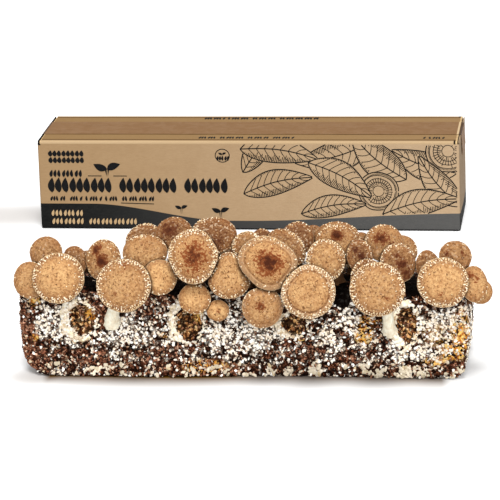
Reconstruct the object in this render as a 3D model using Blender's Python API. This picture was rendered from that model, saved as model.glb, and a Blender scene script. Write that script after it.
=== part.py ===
"""A mushroom grow kit: a sawdust block with a crop of shiitake along its front top edge, and the
taped carton that it came in, standing behind it.

The frame has its origin at the middle of the block's underside, +X along the block, +Y away from
the side that the mushrooms face, and +Z up. Dimensions are written in millimetres and MM turns
them into metres.
"""

from collections import namedtuple
from math import cos, exp, pi, radians, sin, sqrt

import bmesh
import bpy
from mathutils import Matrix, Vector

MM = 0.001
CLEARANCE = 0.3  # left between two pieces that touch

# Substrate block
BLOCK_LENGTH = 442.0
BLOCK_DEPTH = 92.0
BLOCK_HEIGHT = 92.0
BLOCK_LEFT_ROUND = 26.0  # the long roundings under the ends, where the bag was folded
BLOCK_RIGHT_ROUND = 13.0
BLOCK_EDGE_ROUND = 6.0

# Carton, a folded sheet of board
CARTON_LENGTH = 488.0
CARTON_DEPTH = 102.0
CARTON_HEIGHT = 106.0
CARTON_X = -55.0  # the middle of its front face
CARTON_FRONT_Y = 393.0
BOARD = 3.0
FOLD_ROUND = 1.6
SEAM = 1.2  # the slot where two long flaps meet
MINOR_FLAP = 50.0  # how far a short flap reaches in under the long ones
FLAP_GAP = 0.8  # between a long flap's cut end and the end panel under it

# Packing tape
TAPE_WIDTH = 48.0
TAPE_THICKNESS = 0.3
TAPE_DROP = 24.0  # how far it turns down each end
TAPE_FOLD = 0.9  # its slanted turn over each end's edge

# A cap's profile, from its crown to the rolled-in lip: (share of the outline, height over the rim),
# both as shares of the cap's mean radius
CAP_SIDES = 14
CROWN_HEIGHT = 0.42
CAP_PROFILE = ((0.50, 0.36), (0.84, 0.19), (1.0, 0.0), (0.93, -0.13))
GILL_HEIGHT = -0.07  # where the stem meets the underside of the cap
STEM_STATIONS = (  # place along the stem from the cap to the foot, and its radius there as a share
    (1.0, 1.15),
    (0.66, 0.95),
    (0.33, 1.0),
    (0.0, 1.25),
)
STEM_REACH = 0.38  # how far each end of the stem runs straight, as a share of its length

# centre is the middle of the rim's plane. wide and tall are the outline's diameters, turned in its
# own plane by turn. azimuth and elevation say where the crown points: azimuth 0 is -Y and 90 is +X.
# seat names the side of the block that the foot stands on, and foot is its place there: X and Y on
# the top, X and Z on the front, Y and Z on the right end. A dent is a place where a neighbour
# presses the outline in: (angle from the right, depth as a share, half-width in degrees). hold is
# how far to the right of the cap's middle the stem holds it.
Mushroom = namedtuple(
    "Mushroom",
    "centre wide tall azimuth elevation turn seat foot stem_radius dents hold",
    defaults=(0.0,),
)

CROP = (
    Mushroom((-205, -58, 104.5), 33.5, 36.5, 4, 24, 0, "top", (-206, -40), 4.5, ()),
    Mushroom((-191.5, -40, 127), 33, 32.5, 2, 30, 0, "top", (-192, -30), 4.5, ()),
    Mushroom((-173, -72, 112), 51.5, 50, 6, 24, 0, "top", (-174, -40), 6, ()),
    Mushroom((-163, -40, 118), 25, 31.5, 10, 30, 0, "top", (-164, -31), 4, ()),
    Mushroom((-133, -44, 121), 35, 41.5, 4, 28, 0, "top", (-134, -32), 5, ()),
    Mushroom((-107.5, -76, 106.5), 53.5, 52.5, 8, 24, 0, "front", (-128, 54), 5.5, ()),
    Mushroom((-91.5, -41, 128.5), 45, 36, 4, 34, 0, "top", (-92, -29), 5, ()),
    Mushroom((-98.5, -2, 124.5), 40.5, 41, 0, 40, 0, "top", (-99, 10), 5, ()),
    Mushroom((-65, -22, 140.5), 37.5, 36.5, 6, 36, 0, "top", (-66, -11), 5, ()),
    Mushroom((-74.5, -60, 109.5), 34.5, 35, 10, 24, 0, "top", (-77, -39), 4.5, ()),
    Mushroom(
        (-39, -66, 133.5),
        50,
        54,
        6,
        24,
        0,
        "top",
        (-41, -40),
        6,
        ((40, 0.06, 24), (332, 0.08, 24), (212, 0.08, 30)),
    ),
    Mushroom((-39.5, -68, 90.5), 31.5, 30, 8, 20, 0, "front", (-48, 80), 4, ()),
    Mushroom((-17.5, -66, 77.5), 22.5, 21, 8, 14, 0, "front", (-22, 68), 3.5, ()),
    Mushroom((-21.5, -36, 144.5), 42.5, 37.5, 12, 34, 0, "top", (-24, -24), 5, ()),
    Mushroom((-35, -6, 137.5), 30.5, 29, 6, 40, 0, "top", (-36, 3), 4, ()),
    Mushroom(
        (-5.5, -61, 113), 46.5, 47, 8, 24, 0, "top", (-7, -40), 5, ((28, 0.33, 38), (152, 0.34, 36))
    ),
    Mushroom((11, -43, 136), 30.5, 30.5, 8, 32, 0, "top", (10, -33), 4, ()),
    Mushroom(
        (34, -67, 127.5),
        60,
        52,
        8,
        24,
        -28,
        "top",
        (32, -40),
        6.5,
        ((322, 0.14, 26), (218, 0.10, 34), (50, 0.04, 25)),
    ),
    Mushroom((23, -26, 137.5), 21.5, 22, 8, 36, 0, "top", (22, -19), 3.5, ()),
    Mushroom((28.5, -78, 86), 40, 40, 8, 18, 0, "front", (27, 67), 5, ()),
    Mushroom((48, -35, 132.5), 31.5, 43.5, 12, 30, 45, "top", (46, -25), 5, ()),
    Mushroom((56.5, -12, 134), 32.5, 34.5, 10, 36, 0, "top", (55, -5), 4.5, ()),
    Mushroom((68, 16, 126.5), 22, 23.5, 8, 40, 0, "top", (67, 23), 3.5, ()),
    Mushroom((96.5, -29, 137), 40.5, 34, 8, 36, 0, "top", (95, -18), 5, ()),
    Mushroom((93, 0, 129.5), 47, 36, 8, 38, 0, "top", (92, 12), 4.5, ()),
    Mushroom((88.5, -52, 126), 38, 41, 10, 26, 0, "top", (86, -40), 5, ()),
    Mushroom((74.5, -84, 105), 52.5, 52.5, 8, 22, 0, "front", (61, 76), 6, ((135, 0.08, 30),)),
    Mushroom((120.5, -42, 127), 25.5, 33, 10, 28, 0, "top", (119, -32), 4, ()),
    Mushroom((119, -14, 130), 21.5, 22.5, 10, 36, 0, "top", (118, -7), 3.5, ()),
    Mushroom((142.5, -22, 133), 39, 38, 12, 34, 0, "top", (141, -11), 5, ()),
    Mushroom((159.5, -8, 120.5), 29, 31.5, 16, 36, 0, "top", (157, 1), 4, ()),
    Mushroom((158, -44, 120.5), 35, 39.5, 14, 28, 0, "top", (155, -32), 5, ()),
    Mushroom((129.5, -60, 109.5), 33.5, 40, 4, 28, 0, "top", (129, -40), 4.5, ()),
    Mushroom((141, -82, 107.5), 53.5, 52, 10, 22, 0, "front", (148, 50), 5.5, (), 10),
    Mushroom((186.5, -42, 117), 23.5, 31.5, 12, 28, 0, "top", (185, -33), 4, ()),
    Mushroom((203, -72, 111.5), 50, 48.5, 14, 24, 0, "top", (200, -40), 6, ()),
    Mushroom((213.5, -44, 127.5), 32, 32, 16, 30, 0, "top", (206, -20), 4.5, ()),
    Mushroom((232, -56, 104), 26.5, 35.5, 18, 24, 0, "top", (212, -34), 4.5, ()),
    Mushroom((237, -40, 90.5), 24.5, 24.5, 20, 26, 0, "end", (-24, 74), 3.5, ()),
    Mushroom((-14.5, 2, 115.5), 20, 19, 8, 36, 0, "top", (-15, 9), 3, ()),
    Mushroom((106, 0, 107.5), 15, 16, 8, 36, 0, "top", (106, 7), 3, ()),
    Mushroom((-160, 0, 106), 18, 18, 6, 36, 0, "top", (-161, 7), 3, ()),
)


def clear_scene():
    for thing in list(bpy.data.objects):
        bpy.data.objects.remove(thing)


def material(name, colour, roughness):
    made = bpy.data.materials.new(name)
    made.use_nodes = True
    shader = made.node_tree.nodes["Principled BSDF"]
    shader.inputs["Base Color"].default_value = (*colour, 1.0)
    shader.inputs["Roughness"].default_value = roughness
    made.diffuse_color = (*colour, 1.0)
    return made


def object_from(name, shape, finish):
    """Turns a bmesh in millimetres into an object in metres."""
    bmesh.ops.scale(shape, vec=(MM, MM, MM), verts=shape.verts)
    bmesh.ops.recalc_face_normals(shape, faces=shape.faces)
    mesh = bpy.data.meshes.new(name)
    shape.to_mesh(mesh)
    shape.free()
    mesh.materials.append(finish)
    mesh.shade_smooth()
    mesh.set_sharp_from_angle(angle=radians(35))
    made = bpy.data.objects.new(name, mesh)
    bpy.context.collection.objects.link(made)
    return made


def box(low, high):
    """A bmesh box between two corners, in millimetres."""
    shape = bmesh.new()
    bmesh.ops.create_cube(shape, size=1.0)
    low, high = Vector(low), Vector(high)
    size = high - low
    bmesh.ops.scale(shape, vec=size, verts=shape.verts)
    bmesh.ops.translate(shape, vec=(low + high) / 2, verts=shape.verts)
    return shape


def bevel_edges(shape, chosen, width, segments):
    bmesh.ops.bevel(
        shape,
        geom=[edge for edge in shape.edges if chosen(edge)],
        offset=width,
        segments=segments,
        profile=0.5,
        affect="EDGES",
    )


def cut(target, cutters):
    """Cuts bmesh boxes out of an object, each by a Boolean that is applied."""
    for shape in cutters:
        cutter = object_from("cutter", shape, target.data.materials[0])
        modifier = target.modifiers.new("cut", "BOOLEAN")
        modifier.operation = "DIFFERENCE"
        modifier.object = cutter
        bpy.context.view_layer.update()
        graph = bpy.context.evaluated_depsgraph_get()
        result = bpy.data.meshes.new_from_object(target.evaluated_get(graph))
        target.modifiers.remove(modifier)
        target.data = result
        bpy.data.objects.remove(cutter)


def substrate_block(finish):
    """The block, its underside flat, with long roundings under its two ends."""
    half_x, half_y = BLOCK_LENGTH / 2, BLOCK_DEPTH / 2
    shape = box((-half_x, -half_y, 0), (half_x, half_y, BLOCK_HEIGHT))

    def under_end(edge, side):
        middle = (edge.verts[0].co + edge.verts[1].co) / 2
        return middle.x * side > half_x - 1 and middle.z < 1

    bevel_edges(shape, lambda edge: under_end(edge, -1), BLOCK_LEFT_ROUND, 4)
    bevel_edges(shape, lambda edge: under_end(edge, 1), BLOCK_RIGHT_ROUND, 3)
    bevel_edges(
        shape,
        lambda edge: edge.calc_face_angle(0) > radians(50),
        BLOCK_EDGE_ROUND,
        2,
    )
    return object_from("substrate_block", shape, finish)


def facing(azimuth, elevation):
    """The crown's direction, and the two directions across the rim's plane: right and up."""
    around, above = radians(azimuth), radians(elevation)
    crown = Vector((sin(around) * cos(above), -cos(around) * cos(above), sin(above)))
    right = Vector((cos(around), sin(around), 0.0))
    return crown, right, crown.cross(right)


def outline_radius(plan, angle):
    """The rim's distance from the cap's middle: an ellipse, pressed in where there is a dent."""
    turned = angle - radians(plan.turn)
    a, b = plan.wide / 2, plan.tall / 2
    radius = a * b / sqrt((b * cos(turned)) ** 2 + (a * sin(turned)) ** 2)
    for at, depth, half_width in plan.dents:
        away = (angle - radians(at) + pi) % (2 * pi) - pi
        radius *= 1 - depth * exp(-((away / radians(half_width)) ** 2))
    return radius


def seat_of(plan):
    """The foot's place and the direction that the stem leaves the block in."""
    first, second = plan.foot
    if plan.seat == "top":
        return Vector((first, second, BLOCK_HEIGHT + CLEARANCE)), Vector((0, 0, 1))
    if plan.seat == "front":
        return Vector((first, -BLOCK_DEPTH / 2 - CLEARANCE, second)), Vector((0, -1, 0))
    return Vector((BLOCK_LENGTH / 2 + CLEARANCE, first, second)), Vector((1, 0, 0))


def cap_rings(plan):
    centre = Vector(plan.centre)
    crown, right, up = facing(plan.azimuth, plan.elevation)
    mean = (plan.wide + plan.tall) / 4
    angles = [2 * pi * side / CAP_SIDES for side in range(CAP_SIDES)]
    return [
        [
            centre
            + (right * cos(angle) + up * sin(angle)) * outline_radius(plan, angle) * share
            + crown * height * mean
            for angle in angles
        ]
        for share, height in CAP_PROFILE
    ]


def stem_rings(plan):
    """Rings along a cubic curve from under the cap to the foot on the block."""
    crown, right, _ = facing(plan.azimuth, plan.elevation)
    mean = (plan.wide + plan.tall) / 4
    foot, off_block = seat_of(plan)
    head = Vector(plan.centre) + crown * GILL_HEIGHT * mean + right * plan.hold
    reach = (head - foot).length * STEM_REACH
    bones = (foot, foot + off_block * reach * 0.8, head - crown * reach * 0.8, head)
    rings = []
    across = right
    for place, share in STEM_STATIONS:
        left = 1 - place
        middle = (
            bones[0] * left**3
            + bones[1] * 3 * left**2 * place
            + bones[2] * 3 * left * place**2
            + bones[3] * place**3
        )
        along = (
            (bones[1] - bones[0]) * left**2
            + (bones[2] - bones[1]) * 2 * left * place
            + (bones[3] - bones[2]) * place**2
        ).normalized()
        if place == 0:
            along = off_block
        across = (across - along * across.dot(along)).normalized()
        other = along.cross(across)
        radius = plan.stem_radius * share
        rings.append(
            [
                middle + (across * cos(angle) + other * sin(angle)) * radius
                for angle in (2 * pi * side / CAP_SIDES for side in range(CAP_SIDES))
            ]
        )
    return rings


def closed_loft(rings, first, last):
    """A closed skin through the rings, drawn together to a point at each end."""
    shape = bmesh.new()
    start = shape.verts.new(first)
    loops = [[shape.verts.new(point) for point in ring] for ring in rings]
    end = shape.verts.new(last)
    sides = len(loops[0])
    for side in range(sides):
        after = (side + 1) % sides
        shape.faces.new((start, loops[0][side], loops[0][after]))
        for above, below in zip(loops, loops[1:]):
            shape.faces.new((above[side], below[side], below[after], above[after]))
        shape.faces.new((loops[-1][side], end, loops[-1][after]))
    return shape


def mushroom(number, plan, finish):
    crown, _, _ = facing(plan.azimuth, plan.elevation)
    mean = (plan.wide + plan.tall) / 4
    apex = Vector(plan.centre) + crown * CROWN_HEIGHT * mean
    foot, _ = seat_of(plan)
    shape = closed_loft(cap_rings(plan) + stem_rings(plan), apex, foot)
    return object_from(f"mushroom_{number:02d}", shape, finish)


def carton_place():
    return Matrix.Translation(Vector((CARTON_X, CARTON_FRONT_Y + CARTON_DEPTH / 2, 0)) * MM)


def carton(finish):
    """One sheet of board folded into a box: walls, short flaps at both ends of the top and bottom,
    and long flaps over them that meet in a slot along the middle."""
    half_x, half_y, top = CARTON_LENGTH / 2, CARTON_DEPTH / 2, CARTON_HEIGHT
    shape = box((-half_x, -half_y, 0), (half_x, half_y, top))
    bevel_edges(shape, lambda edge: True, FOLD_ROUND, 2)
    made = object_from("carton", shape, finish)
    inner_x, inner_y = half_x - BOARD, half_y - BOARD
    past = 1.0
    cutters = [
        # the space inside, full height between the short flaps and lower under them
        box(
            (-inner_x + MINOR_FLAP, -inner_y, BOARD),
            (inner_x - MINOR_FLAP, inner_y, top - BOARD),
        ),
        box((-inner_x, -inner_y, 2 * BOARD), (inner_x, inner_y, top - 2 * BOARD)),
        # the slot between the long flaps, above and below
        box((-half_x - past, -SEAM / 2, top - BOARD), (half_x + past, SEAM / 2, top + past)),
        box((-half_x - past, -SEAM / 2, -past), (half_x + past, SEAM / 2, BOARD)),
    ]
    for side in (-1, 1):
        near, far = sorted((side * (half_x - BOARD), side * (half_x + past)))
        cutters.append(
            box(
                (near, -inner_y, top - BOARD - FLAP_GAP),
                (far, inner_y, top - BOARD),
            )
        )
    cut(made, cutters)
    made.matrix_world = carton_place()
    return made


def packing_tape(finish):
    """A strip along the top seam that turns down over both ends."""
    inside = CLEARANCE
    outside = CLEARANCE + TAPE_THICKNESS
    half_x = CARTON_LENGTH / 2
    path = []
    for offset, order in ((inside, 1), (outside, -1)):
        side = [
            (-half_x - offset, CARTON_HEIGHT - TAPE_DROP),
            (-half_x - offset, CARTON_HEIGHT + offset - TAPE_FOLD),
            (-half_x - offset + TAPE_FOLD, CARTON_HEIGHT + offset),
        ]
        side += [(-x, z) for x, z in reversed(side)]
        path += side[::order]
    shape = bmesh.new()
    corners = [shape.verts.new((x, -TAPE_WIDTH / 2, z)) for x, z in path]
    face = shape.faces.new(corners)
    pushed = bmesh.ops.extrude_face_region(shape, geom=[face])
    moved = [item for item in pushed["geom"] if isinstance(item, bmesh.types.BMVert)]
    bmesh.ops.translate(shape, vec=(0, TAPE_WIDTH, 0), verts=moved)
    made = object_from("packing_tape", shape, finish)
    made.matrix_world = carton_place()
    return made


def main():
    clear_scene()
    sawdust = material("sawdust and mycelium", (0.36, 0.27, 0.21), 0.9)
    flesh = material("mushroom", (0.62, 0.42, 0.24), 0.65)
    board = material("kraft board", (0.50, 0.36, 0.22), 0.8)
    film = material("brown packing tape", (0.36, 0.22, 0.10), 0.35)
    substrate_block(sawdust)
    for number, plan in enumerate(CROP, start=1):
        mushroom(number, plan, flesh)
    carton(board)
    packing_tape(film)


main()
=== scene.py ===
"""The looks of the mushroom grow kit: a sawdust block overgrown with mycelium, its crop of shiitake,
and the printed kraft carton behind it, taped shut.

The frame's origin is the middle of the block's underside, +X along the block, +Y away from the side
that the mushrooms face, +Z up. Sizes are written in millimetres and MM turns them into metres.
Colours are written as they look in the studio light, from 0 to 255, and paint() turns them into the
shaders' own.
"""

from collections import namedtuple
from math import atan2, cos, exp, hypot, pi, radians, sin

import bpy
import numpy as np
from mathutils import Matrix, Vector, noise


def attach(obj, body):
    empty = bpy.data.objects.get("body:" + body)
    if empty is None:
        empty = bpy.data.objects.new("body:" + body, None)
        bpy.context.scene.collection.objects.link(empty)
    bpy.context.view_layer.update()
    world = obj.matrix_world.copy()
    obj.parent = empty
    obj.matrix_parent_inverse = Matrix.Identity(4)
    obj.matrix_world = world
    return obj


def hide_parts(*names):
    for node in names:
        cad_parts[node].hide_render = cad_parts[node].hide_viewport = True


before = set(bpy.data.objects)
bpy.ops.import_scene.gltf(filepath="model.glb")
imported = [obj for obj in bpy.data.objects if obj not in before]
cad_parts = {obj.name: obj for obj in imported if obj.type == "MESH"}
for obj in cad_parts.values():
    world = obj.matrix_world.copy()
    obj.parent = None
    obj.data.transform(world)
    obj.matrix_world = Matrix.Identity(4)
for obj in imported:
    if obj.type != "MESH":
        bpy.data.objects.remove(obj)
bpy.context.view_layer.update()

MM = 0.001
SEED = 7
chance = np.random.default_rng(SEED)

# Camera, from the carton's corners and the block's ends in the photograph
CAMERA_AZIMUTH = 9.0
CAMERA_ELEVATION = 19.61
CAMERA_ROLL = -2.58
CAMERA_DISTANCE = 2.5
CAMERA_TARGET = Vector((0.0065, 0.0, 0.1169))
CAMERA_LENS = 181.1
SENSOR = 36.0

# Studio light, as the brightness that each part of it gives a white surface facing it
STUDIO_LEVEL = 1.86  # all of it together, on a surface that faces the camera
ROOM_LIGHT = 0.8
Sun = namedtuple("Sun", "name azimuth elevation spread level")  # azimuth 0 is -Y and 90 is +X
SUNS = (Sun("overhead", 8, 70, 20, 0.92), Sun("front", 20, 30, 36, 0.8))

# The floor sheet: how much light it gives back, and the soft shade painted on it, which is close
# along the block's foot, as (x, y, half-width, half-depth), and in smears beside both things
FLOOR_SHADE = 0.68
FLOOR_SIZE = 60.0
SHADE_TINT = (0.08, 0.035, 0.0, 1)
FOOT = (3, 0, 195, 47)
FOOT_REACH = 30.0
FOOT_SHADE = 0.79
Smear = namedtuple("Smear", "x y half_wide half_deep amount")
SMEARS = (
    Smear(-212, -54, 38, 34, 0.24),
    Smear(-110, -54, 170, 38, 0.36),
    Smear(-380, 440, 190, 60, 0.38),
)

# Substrate block
BLOCK_LENGTH = 442.0
BLOCK_DEPTH = 92.0
BLOCK_HEIGHT = 92.0
BLOCK_LEFT_ROUND = 26.0  # the long roundings under the ends, where the bag was folded
BLOCK_RIGHT_ROUND = 13.0
BLOCK_EDGE_ROUND = 4.0
END_BULGE = 2.4  # how far the ends stand out at half their height
BLOCK_CELL = 1.6  # the side of the skin's faces
CLEARANCE = 0.3  # between the block and a foot
FOOT_SUNK = 2.5  # how deep a stem's foot is sunk into the block

# Carton
CARTON_LENGTH = 488.0
CARTON_DEPTH = 102.0
CARTON_HEIGHT = 107.0
CARTON_X = -55.0
CARTON_FRONT_Y = 393.0
CARTON_MIDDLE_Y = CARTON_FRONT_Y + CARTON_DEPTH / 2
CARTON_LEFT = CARTON_X - CARTON_LENGTH / 2
CARTON_RIGHT = CARTON_X + CARTON_LENGTH / 2
BOARD = 3.0
FLAP_GAP = 0.6  # from the top's middle to a long flap's edge
FLAP_SHORT = 2.4  # how far the long flaps' cut ends stop before the end panels' faces
END_RIM = 1.2  # the thickness of the end panels' folded top edges beyond that gap
CREASE_IN = 7.0  # from a long fold to the crease beside it
FLUTE = 6.5  # from one flute of the board to the next
TAPE_WIDTH = 48.0
TAPE_THICKNESS = 0.3
TAPE_LIFT = 0.35  # how far the strip is drawn over the flaps

# Mushroom caps: a turned profile of (share of the outline, height over the rim's plane), both as
# shares of the cap's mean radius, from the crown over the rolled lip to the gills' plate
CAP_PROFILE = (
    (0.05, 0.42), (0.13, 0.418), (0.22, 0.413), (0.31, 0.404), (0.40, 0.389), (0.48, 0.370),
    (0.56, 0.345), (0.63, 0.317), (0.70, 0.283), (0.76, 0.248), (0.81, 0.213), (0.85, 0.180),
    (0.88, 0.149), (0.905, 0.126), (0.925, 0.113), (0.945, 0.102), (0.965, 0.081), (0.982, 0.050),
    (0.994, 0.014), (1.0, -0.025), (0.995, -0.065), (0.98, -0.098), (0.955, -0.120),
    (0.925, -0.126), (0.90, -0.112), (0.885, -0.085), (0.60, -0.055), (0.30, -0.048), (0.08, -0.048),
)
CAP_SIDES = 88
UNDERSIDE = -0.04  # under this height, and inside the lip, a cap's skin is not stained
LIP_INSIDE = 0.93
GILLS = 46
GILL_END = 0.885
GILL_HEIGHT = -0.07
STEM_SIDES = 20
STEM_STEPS = 16
STEM_REACH = 0.38  # how far the stem's curve keeps each end's direction, as a share of its length

# The rows of cream scales beside the rim: (share of the radius, spacing, how many of them stand)
FLECK_ROWS = ((0.965, 2.5, 0.95), (0.915, 2.5, 0.9), (0.865, 2.8, 0.55), (0.815, 3.2, 0.2))

# The crop, as it was planted in the CAD source: where each cap is, which way it faces, and where
# its foot stands on the block. hold is how far to the right of the cap's middle the stem holds it.
Mushroom = namedtuple(
    "Mushroom",
    "centre wide tall azimuth elevation turn seat foot stem_radius dents hold",
    defaults=((), 0.0),
)
CROP = (
    Mushroom((-205, -58, 104.5), 33.5, 36.5, 4, 24, 0, "top", (-206, -40), 4.5),
    Mushroom((-191.5, -40, 127), 33, 32.5, 2, 30, 0, "top", (-192, -30), 4.5),
    Mushroom((-173, -72, 112), 51.5, 50, 6, 24, 0, "top", (-174, -40), 6),
    Mushroom((-163, -40, 118), 25, 31.5, 10, 30, 0, "top", (-164, -31), 4),
    Mushroom((-133, -44, 121), 35, 41.5, 4, 28, 0, "top", (-134, -32), 5),
    Mushroom((-107.5, -76, 106.5), 53.5, 52.5, 8, 24, 0, "front", (-128, 56), 6.2),
    Mushroom((-91.5, -41, 128.5), 45, 36, 4, 34, 0, "top", (-92, -29), 5),
    Mushroom((-98.5, -2, 124.5), 40.5, 41, 0, 40, 0, "top", (-99, 10), 5),
    Mushroom((-65, -22, 140.5), 37.5, 36.5, 6, 36, 0, "top", (-66, -11), 5),
    Mushroom((-74.5, -60, 109.5), 34.5, 35, 10, 24, 0, "top", (-77, -39), 4.5),
    Mushroom((-39, -66, 133.5), 50, 54, 6, 24, 0, "top", (-41, -40), 6,
             ((40, 0.06, 24), (332, 0.08, 24), (212, 0.08, 30))),
    Mushroom((-39.5, -68, 90.5), 31.5, 30, 8, 20, 0, "front", (-48, 80), 4),
    Mushroom((-17.5, -66, 77.5), 22.5, 21, 8, 14, 0, "front", (-22, 68), 3.5),
    Mushroom((-21.5, -36, 144.5), 42.5, 37.5, 12, 34, 0, "top", (-24, -24), 5),
    Mushroom((-35, -6, 137.5), 30.5, 29, 6, 40, 0, "top", (-36, 3), 4),
    Mushroom((-5.5, -61, 113), 46.5, 47, 8, 24, 0, "top", (-7, -40), 5,
             ((28, 0.33, 38), (152, 0.34, 36))),
    Mushroom((11, -43, 136), 30.5, 30.5, 8, 32, 0, "top", (10, -33), 4),
    Mushroom((34, -67, 127.5), 60, 52, 8, 24, -28, "top", (32, -40), 6.5,
             ((322, 0.14, 26), (218, 0.10, 34), (50, 0.04, 25))),
    Mushroom((23, -26, 137.5), 21.5, 22, 8, 36, 0, "top", (22, -19), 3.5),
    Mushroom((28.5, -78, 86), 40, 40, 8, 18, 0, "front", (27, 67), 5),
    Mushroom((48, -35, 132.5), 31.5, 43.5, 12, 30, 45, "top", (46, -25), 5),
    Mushroom((56.5, -12, 134), 32.5, 34.5, 10, 36, 0, "top", (55, -5), 4.5),
    Mushroom((68, 16, 126.5), 22, 23.5, 8, 40, 0, "top", (67, 23), 3.5),
    Mushroom((96.5, -29, 137), 40.5, 34, 8, 36, 0, "top", (95, -18), 5),
    Mushroom((93, 0, 129.5), 47, 36, 8, 38, 0, "top", (92, 12), 4.5),
    Mushroom((88.5, -52, 126), 38, 41, 10, 26, 0, "top", (86, -40), 5),
    Mushroom((74.5, -84, 105), 52.5, 52.5, 8, 22, 0, "front", (61, 76), 6, ((135, 0.08, 30),)),
    Mushroom((120.5, -42, 127), 25.5, 33, 10, 28, 0, "top", (119, -32), 4),
    Mushroom((119, -14, 130), 21.5, 22.5, 10, 36, 0, "top", (118, -7), 3.5),
    Mushroom((142.5, -22, 133), 39, 38, 12, 34, 0, "top", (141, -11), 5),
    Mushroom((159.5, -8, 120.5), 29, 31.5, 16, 36, 0, "top", (157, 1), 4),
    Mushroom((158, -44, 120.5), 35, 39.5, 14, 28, 0, "top", (155, -32), 5),
    Mushroom((129.5, -60, 109.5), 33.5, 40, 4, 28, 0, "top", (129, -40), 4.5),
    Mushroom((141, -82, 107.5), 53.5, 52, 10, 22, 0, "front", (148, 50), 5.5, (), 10),
    Mushroom((186.5, -42, 117), 23.5, 31.5, 12, 28, 0, "top", (185, -33), 4),
    Mushroom((203, -72, 111.5), 50, 48.5, 14, 24, 0, "top", (200, -40), 6),
    Mushroom((213.5, -44, 127.5), 32, 32, 16, 30, 0, "top", (206, -20), 4.5),
    Mushroom((232, -56, 104), 26.5, 35.5, 18, 24, 0, "top", (212, -34), 4.5),
    Mushroom((237, -40, 90.5), 24.5, 24.5, 20, 26, 0, "end", (-24, 74), 3.5),
    Mushroom((-14.5, 2, 115.5), 20, 19, 8, 36, 0, "top", (-15, 9), 3),
    Mushroom((106, 0, 107.5), 15, 16, 8, 36, 0, "top", (106, 7), 3),
    Mushroom((-160, 0, 106), 18, 18, 6, 36, 0, "top", (-161, 7), 3),
)

# Each cap's own look. tone runs from 0, golden, to 1, dark brown. flecks is how thickly the cream
# flecks stand along the rim, and lean the angle of the side where they are thickest (None: all
# round). A stain is (right, up, reach, strength), as shares of the cap's radius. ledge is how deep
# a second ring inside the rim is, knob a raised place (right, up, reach, height), and pale how
# white the stem is.
Look = namedtuple(
    "Look", "tone flecks lean stains ledge knob pale", defaults=(None, (), 0.0, None, 0.25)
)
LOOKS = (
    Look(0.22, 0.10),
    Look(0.44, 0.05),
    Look(0.05, 0.90, None, (), 0.2),
    Look(0.70, 0.15, 60),
    Look(0.30, 0.50, 50, ((-0.31, 0.50, 0.30, 0.9), (-0.05, -0.10, 0.38, 1.0))),
    Look(0.23, 0.95, None, ((-0.31, -0.36, 0.12, 0.5), (0.1, 0.7, 0.35, 0.35)), 0.25, None, 1.0),
    Look(0.22, 0.50, 90, ((0.2, 0.3, 0.5, 0.3),)),
    Look(0.74, 0.95, 100),
    Look(0.72, 0.15, 30, ((-0.2, 0.1, 0.5, 0.75), (-0.4, 0.4, 0.3, 0.6))),
    Look(0.00, 0.45, -30, (), 0.15),
    Look(0.06, 1.00, None, ((0.07, -0.04, 0.66, 0.78),), 0.35),
    Look(0.00, 0.45, -50),
    Look(0.00, 0.15, -60, ((0.05, 0.0, 0.2, 0.6),), 0.0, (0.12, -0.12, 0.22, 0.07)),
    Look(0.80, 0.50, 140, ((0.0, -0.45, 0.5, 0.45),)),
    Look(0.60, 0.60, 110),
    Look(0.14, 0.50, None, ((-0.1, 0.2, 0.25, 0.25),)),
    Look(0.50, 1.00),
    Look(0.02, 0.75, 95, ((0.05, -0.02, 0.55, 0.95), (-0.15, 0.3, 0.3, 0.6)), 0.45),
    Look(0.85, 0.10, 90),
    Look(0.28, 0.50, 120, ((-0.05, 0.08, 0.30, 0.7),), 0.2),
    Look(0.60, 1.00, 20),
    Look(0.84, 0.45, 120),
    Look(0.75, 0.10, 90),
    Look(0.37, 0.70, 100, ((0.05, 0.25, 0.38, 1.0),), 0.0, (0.05, 0.25, 0.24, 0.15)),
    Look(0.45, 0.40, 0),
    Look(0.21, 1.00, None, (), 0.3),
    Look(0.13, 1.00, None, ((-0.1, -0.2, 0.14, 0.25),), 0.7),
    Look(0.78, 0.45, 90, ((0.1, -0.1, 0.35, 0.9), (-0.3, 0.35, 0.25, 0.8))),
    Look(0.65, 0.10, 90),
    Look(0.37, 0.45, 120, ((-0.15, 0.15, 0.44, 0.85), (0.3, -0.2, 0.25, 0.5))),
    Look(0.45, 0.10, 0),
    Look(0.60, 0.60, 100,
         ((-0.1, 0.30, 0.25, 0.7), (0.15, -0.15, 0.34, 0.95), (0.35, -0.6, 0.32, 0.8))),
    Look(0.80, 0.80, 130),
    Look(0.24, 1.00, None, ((0.31, -0.36, 0.12, 0.55),), 0.2, None, 0.8),
    Look(0.65, 0.10, 90),
    Look(0.06, 0.95, None, ((-0.1, -0.55, 0.30, 0.35),), 0.3),
    Look(0.48, 0.10, 90, ((-0.55, 0.15, 0.2, 0.8), (0.4, 0.1, 0.2, 0.7))),
    Look(0.12, 0.20, -40, ((0.1, 0.2, 0.3, 0.4), (-0.3, 0.5, 0.3, 0.7))),
    Look(0.18, 0.05),
    Look(0.90, 0.20),
    Look(0.90, 0.20),
    Look(0.90, 0.20),
)

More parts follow.
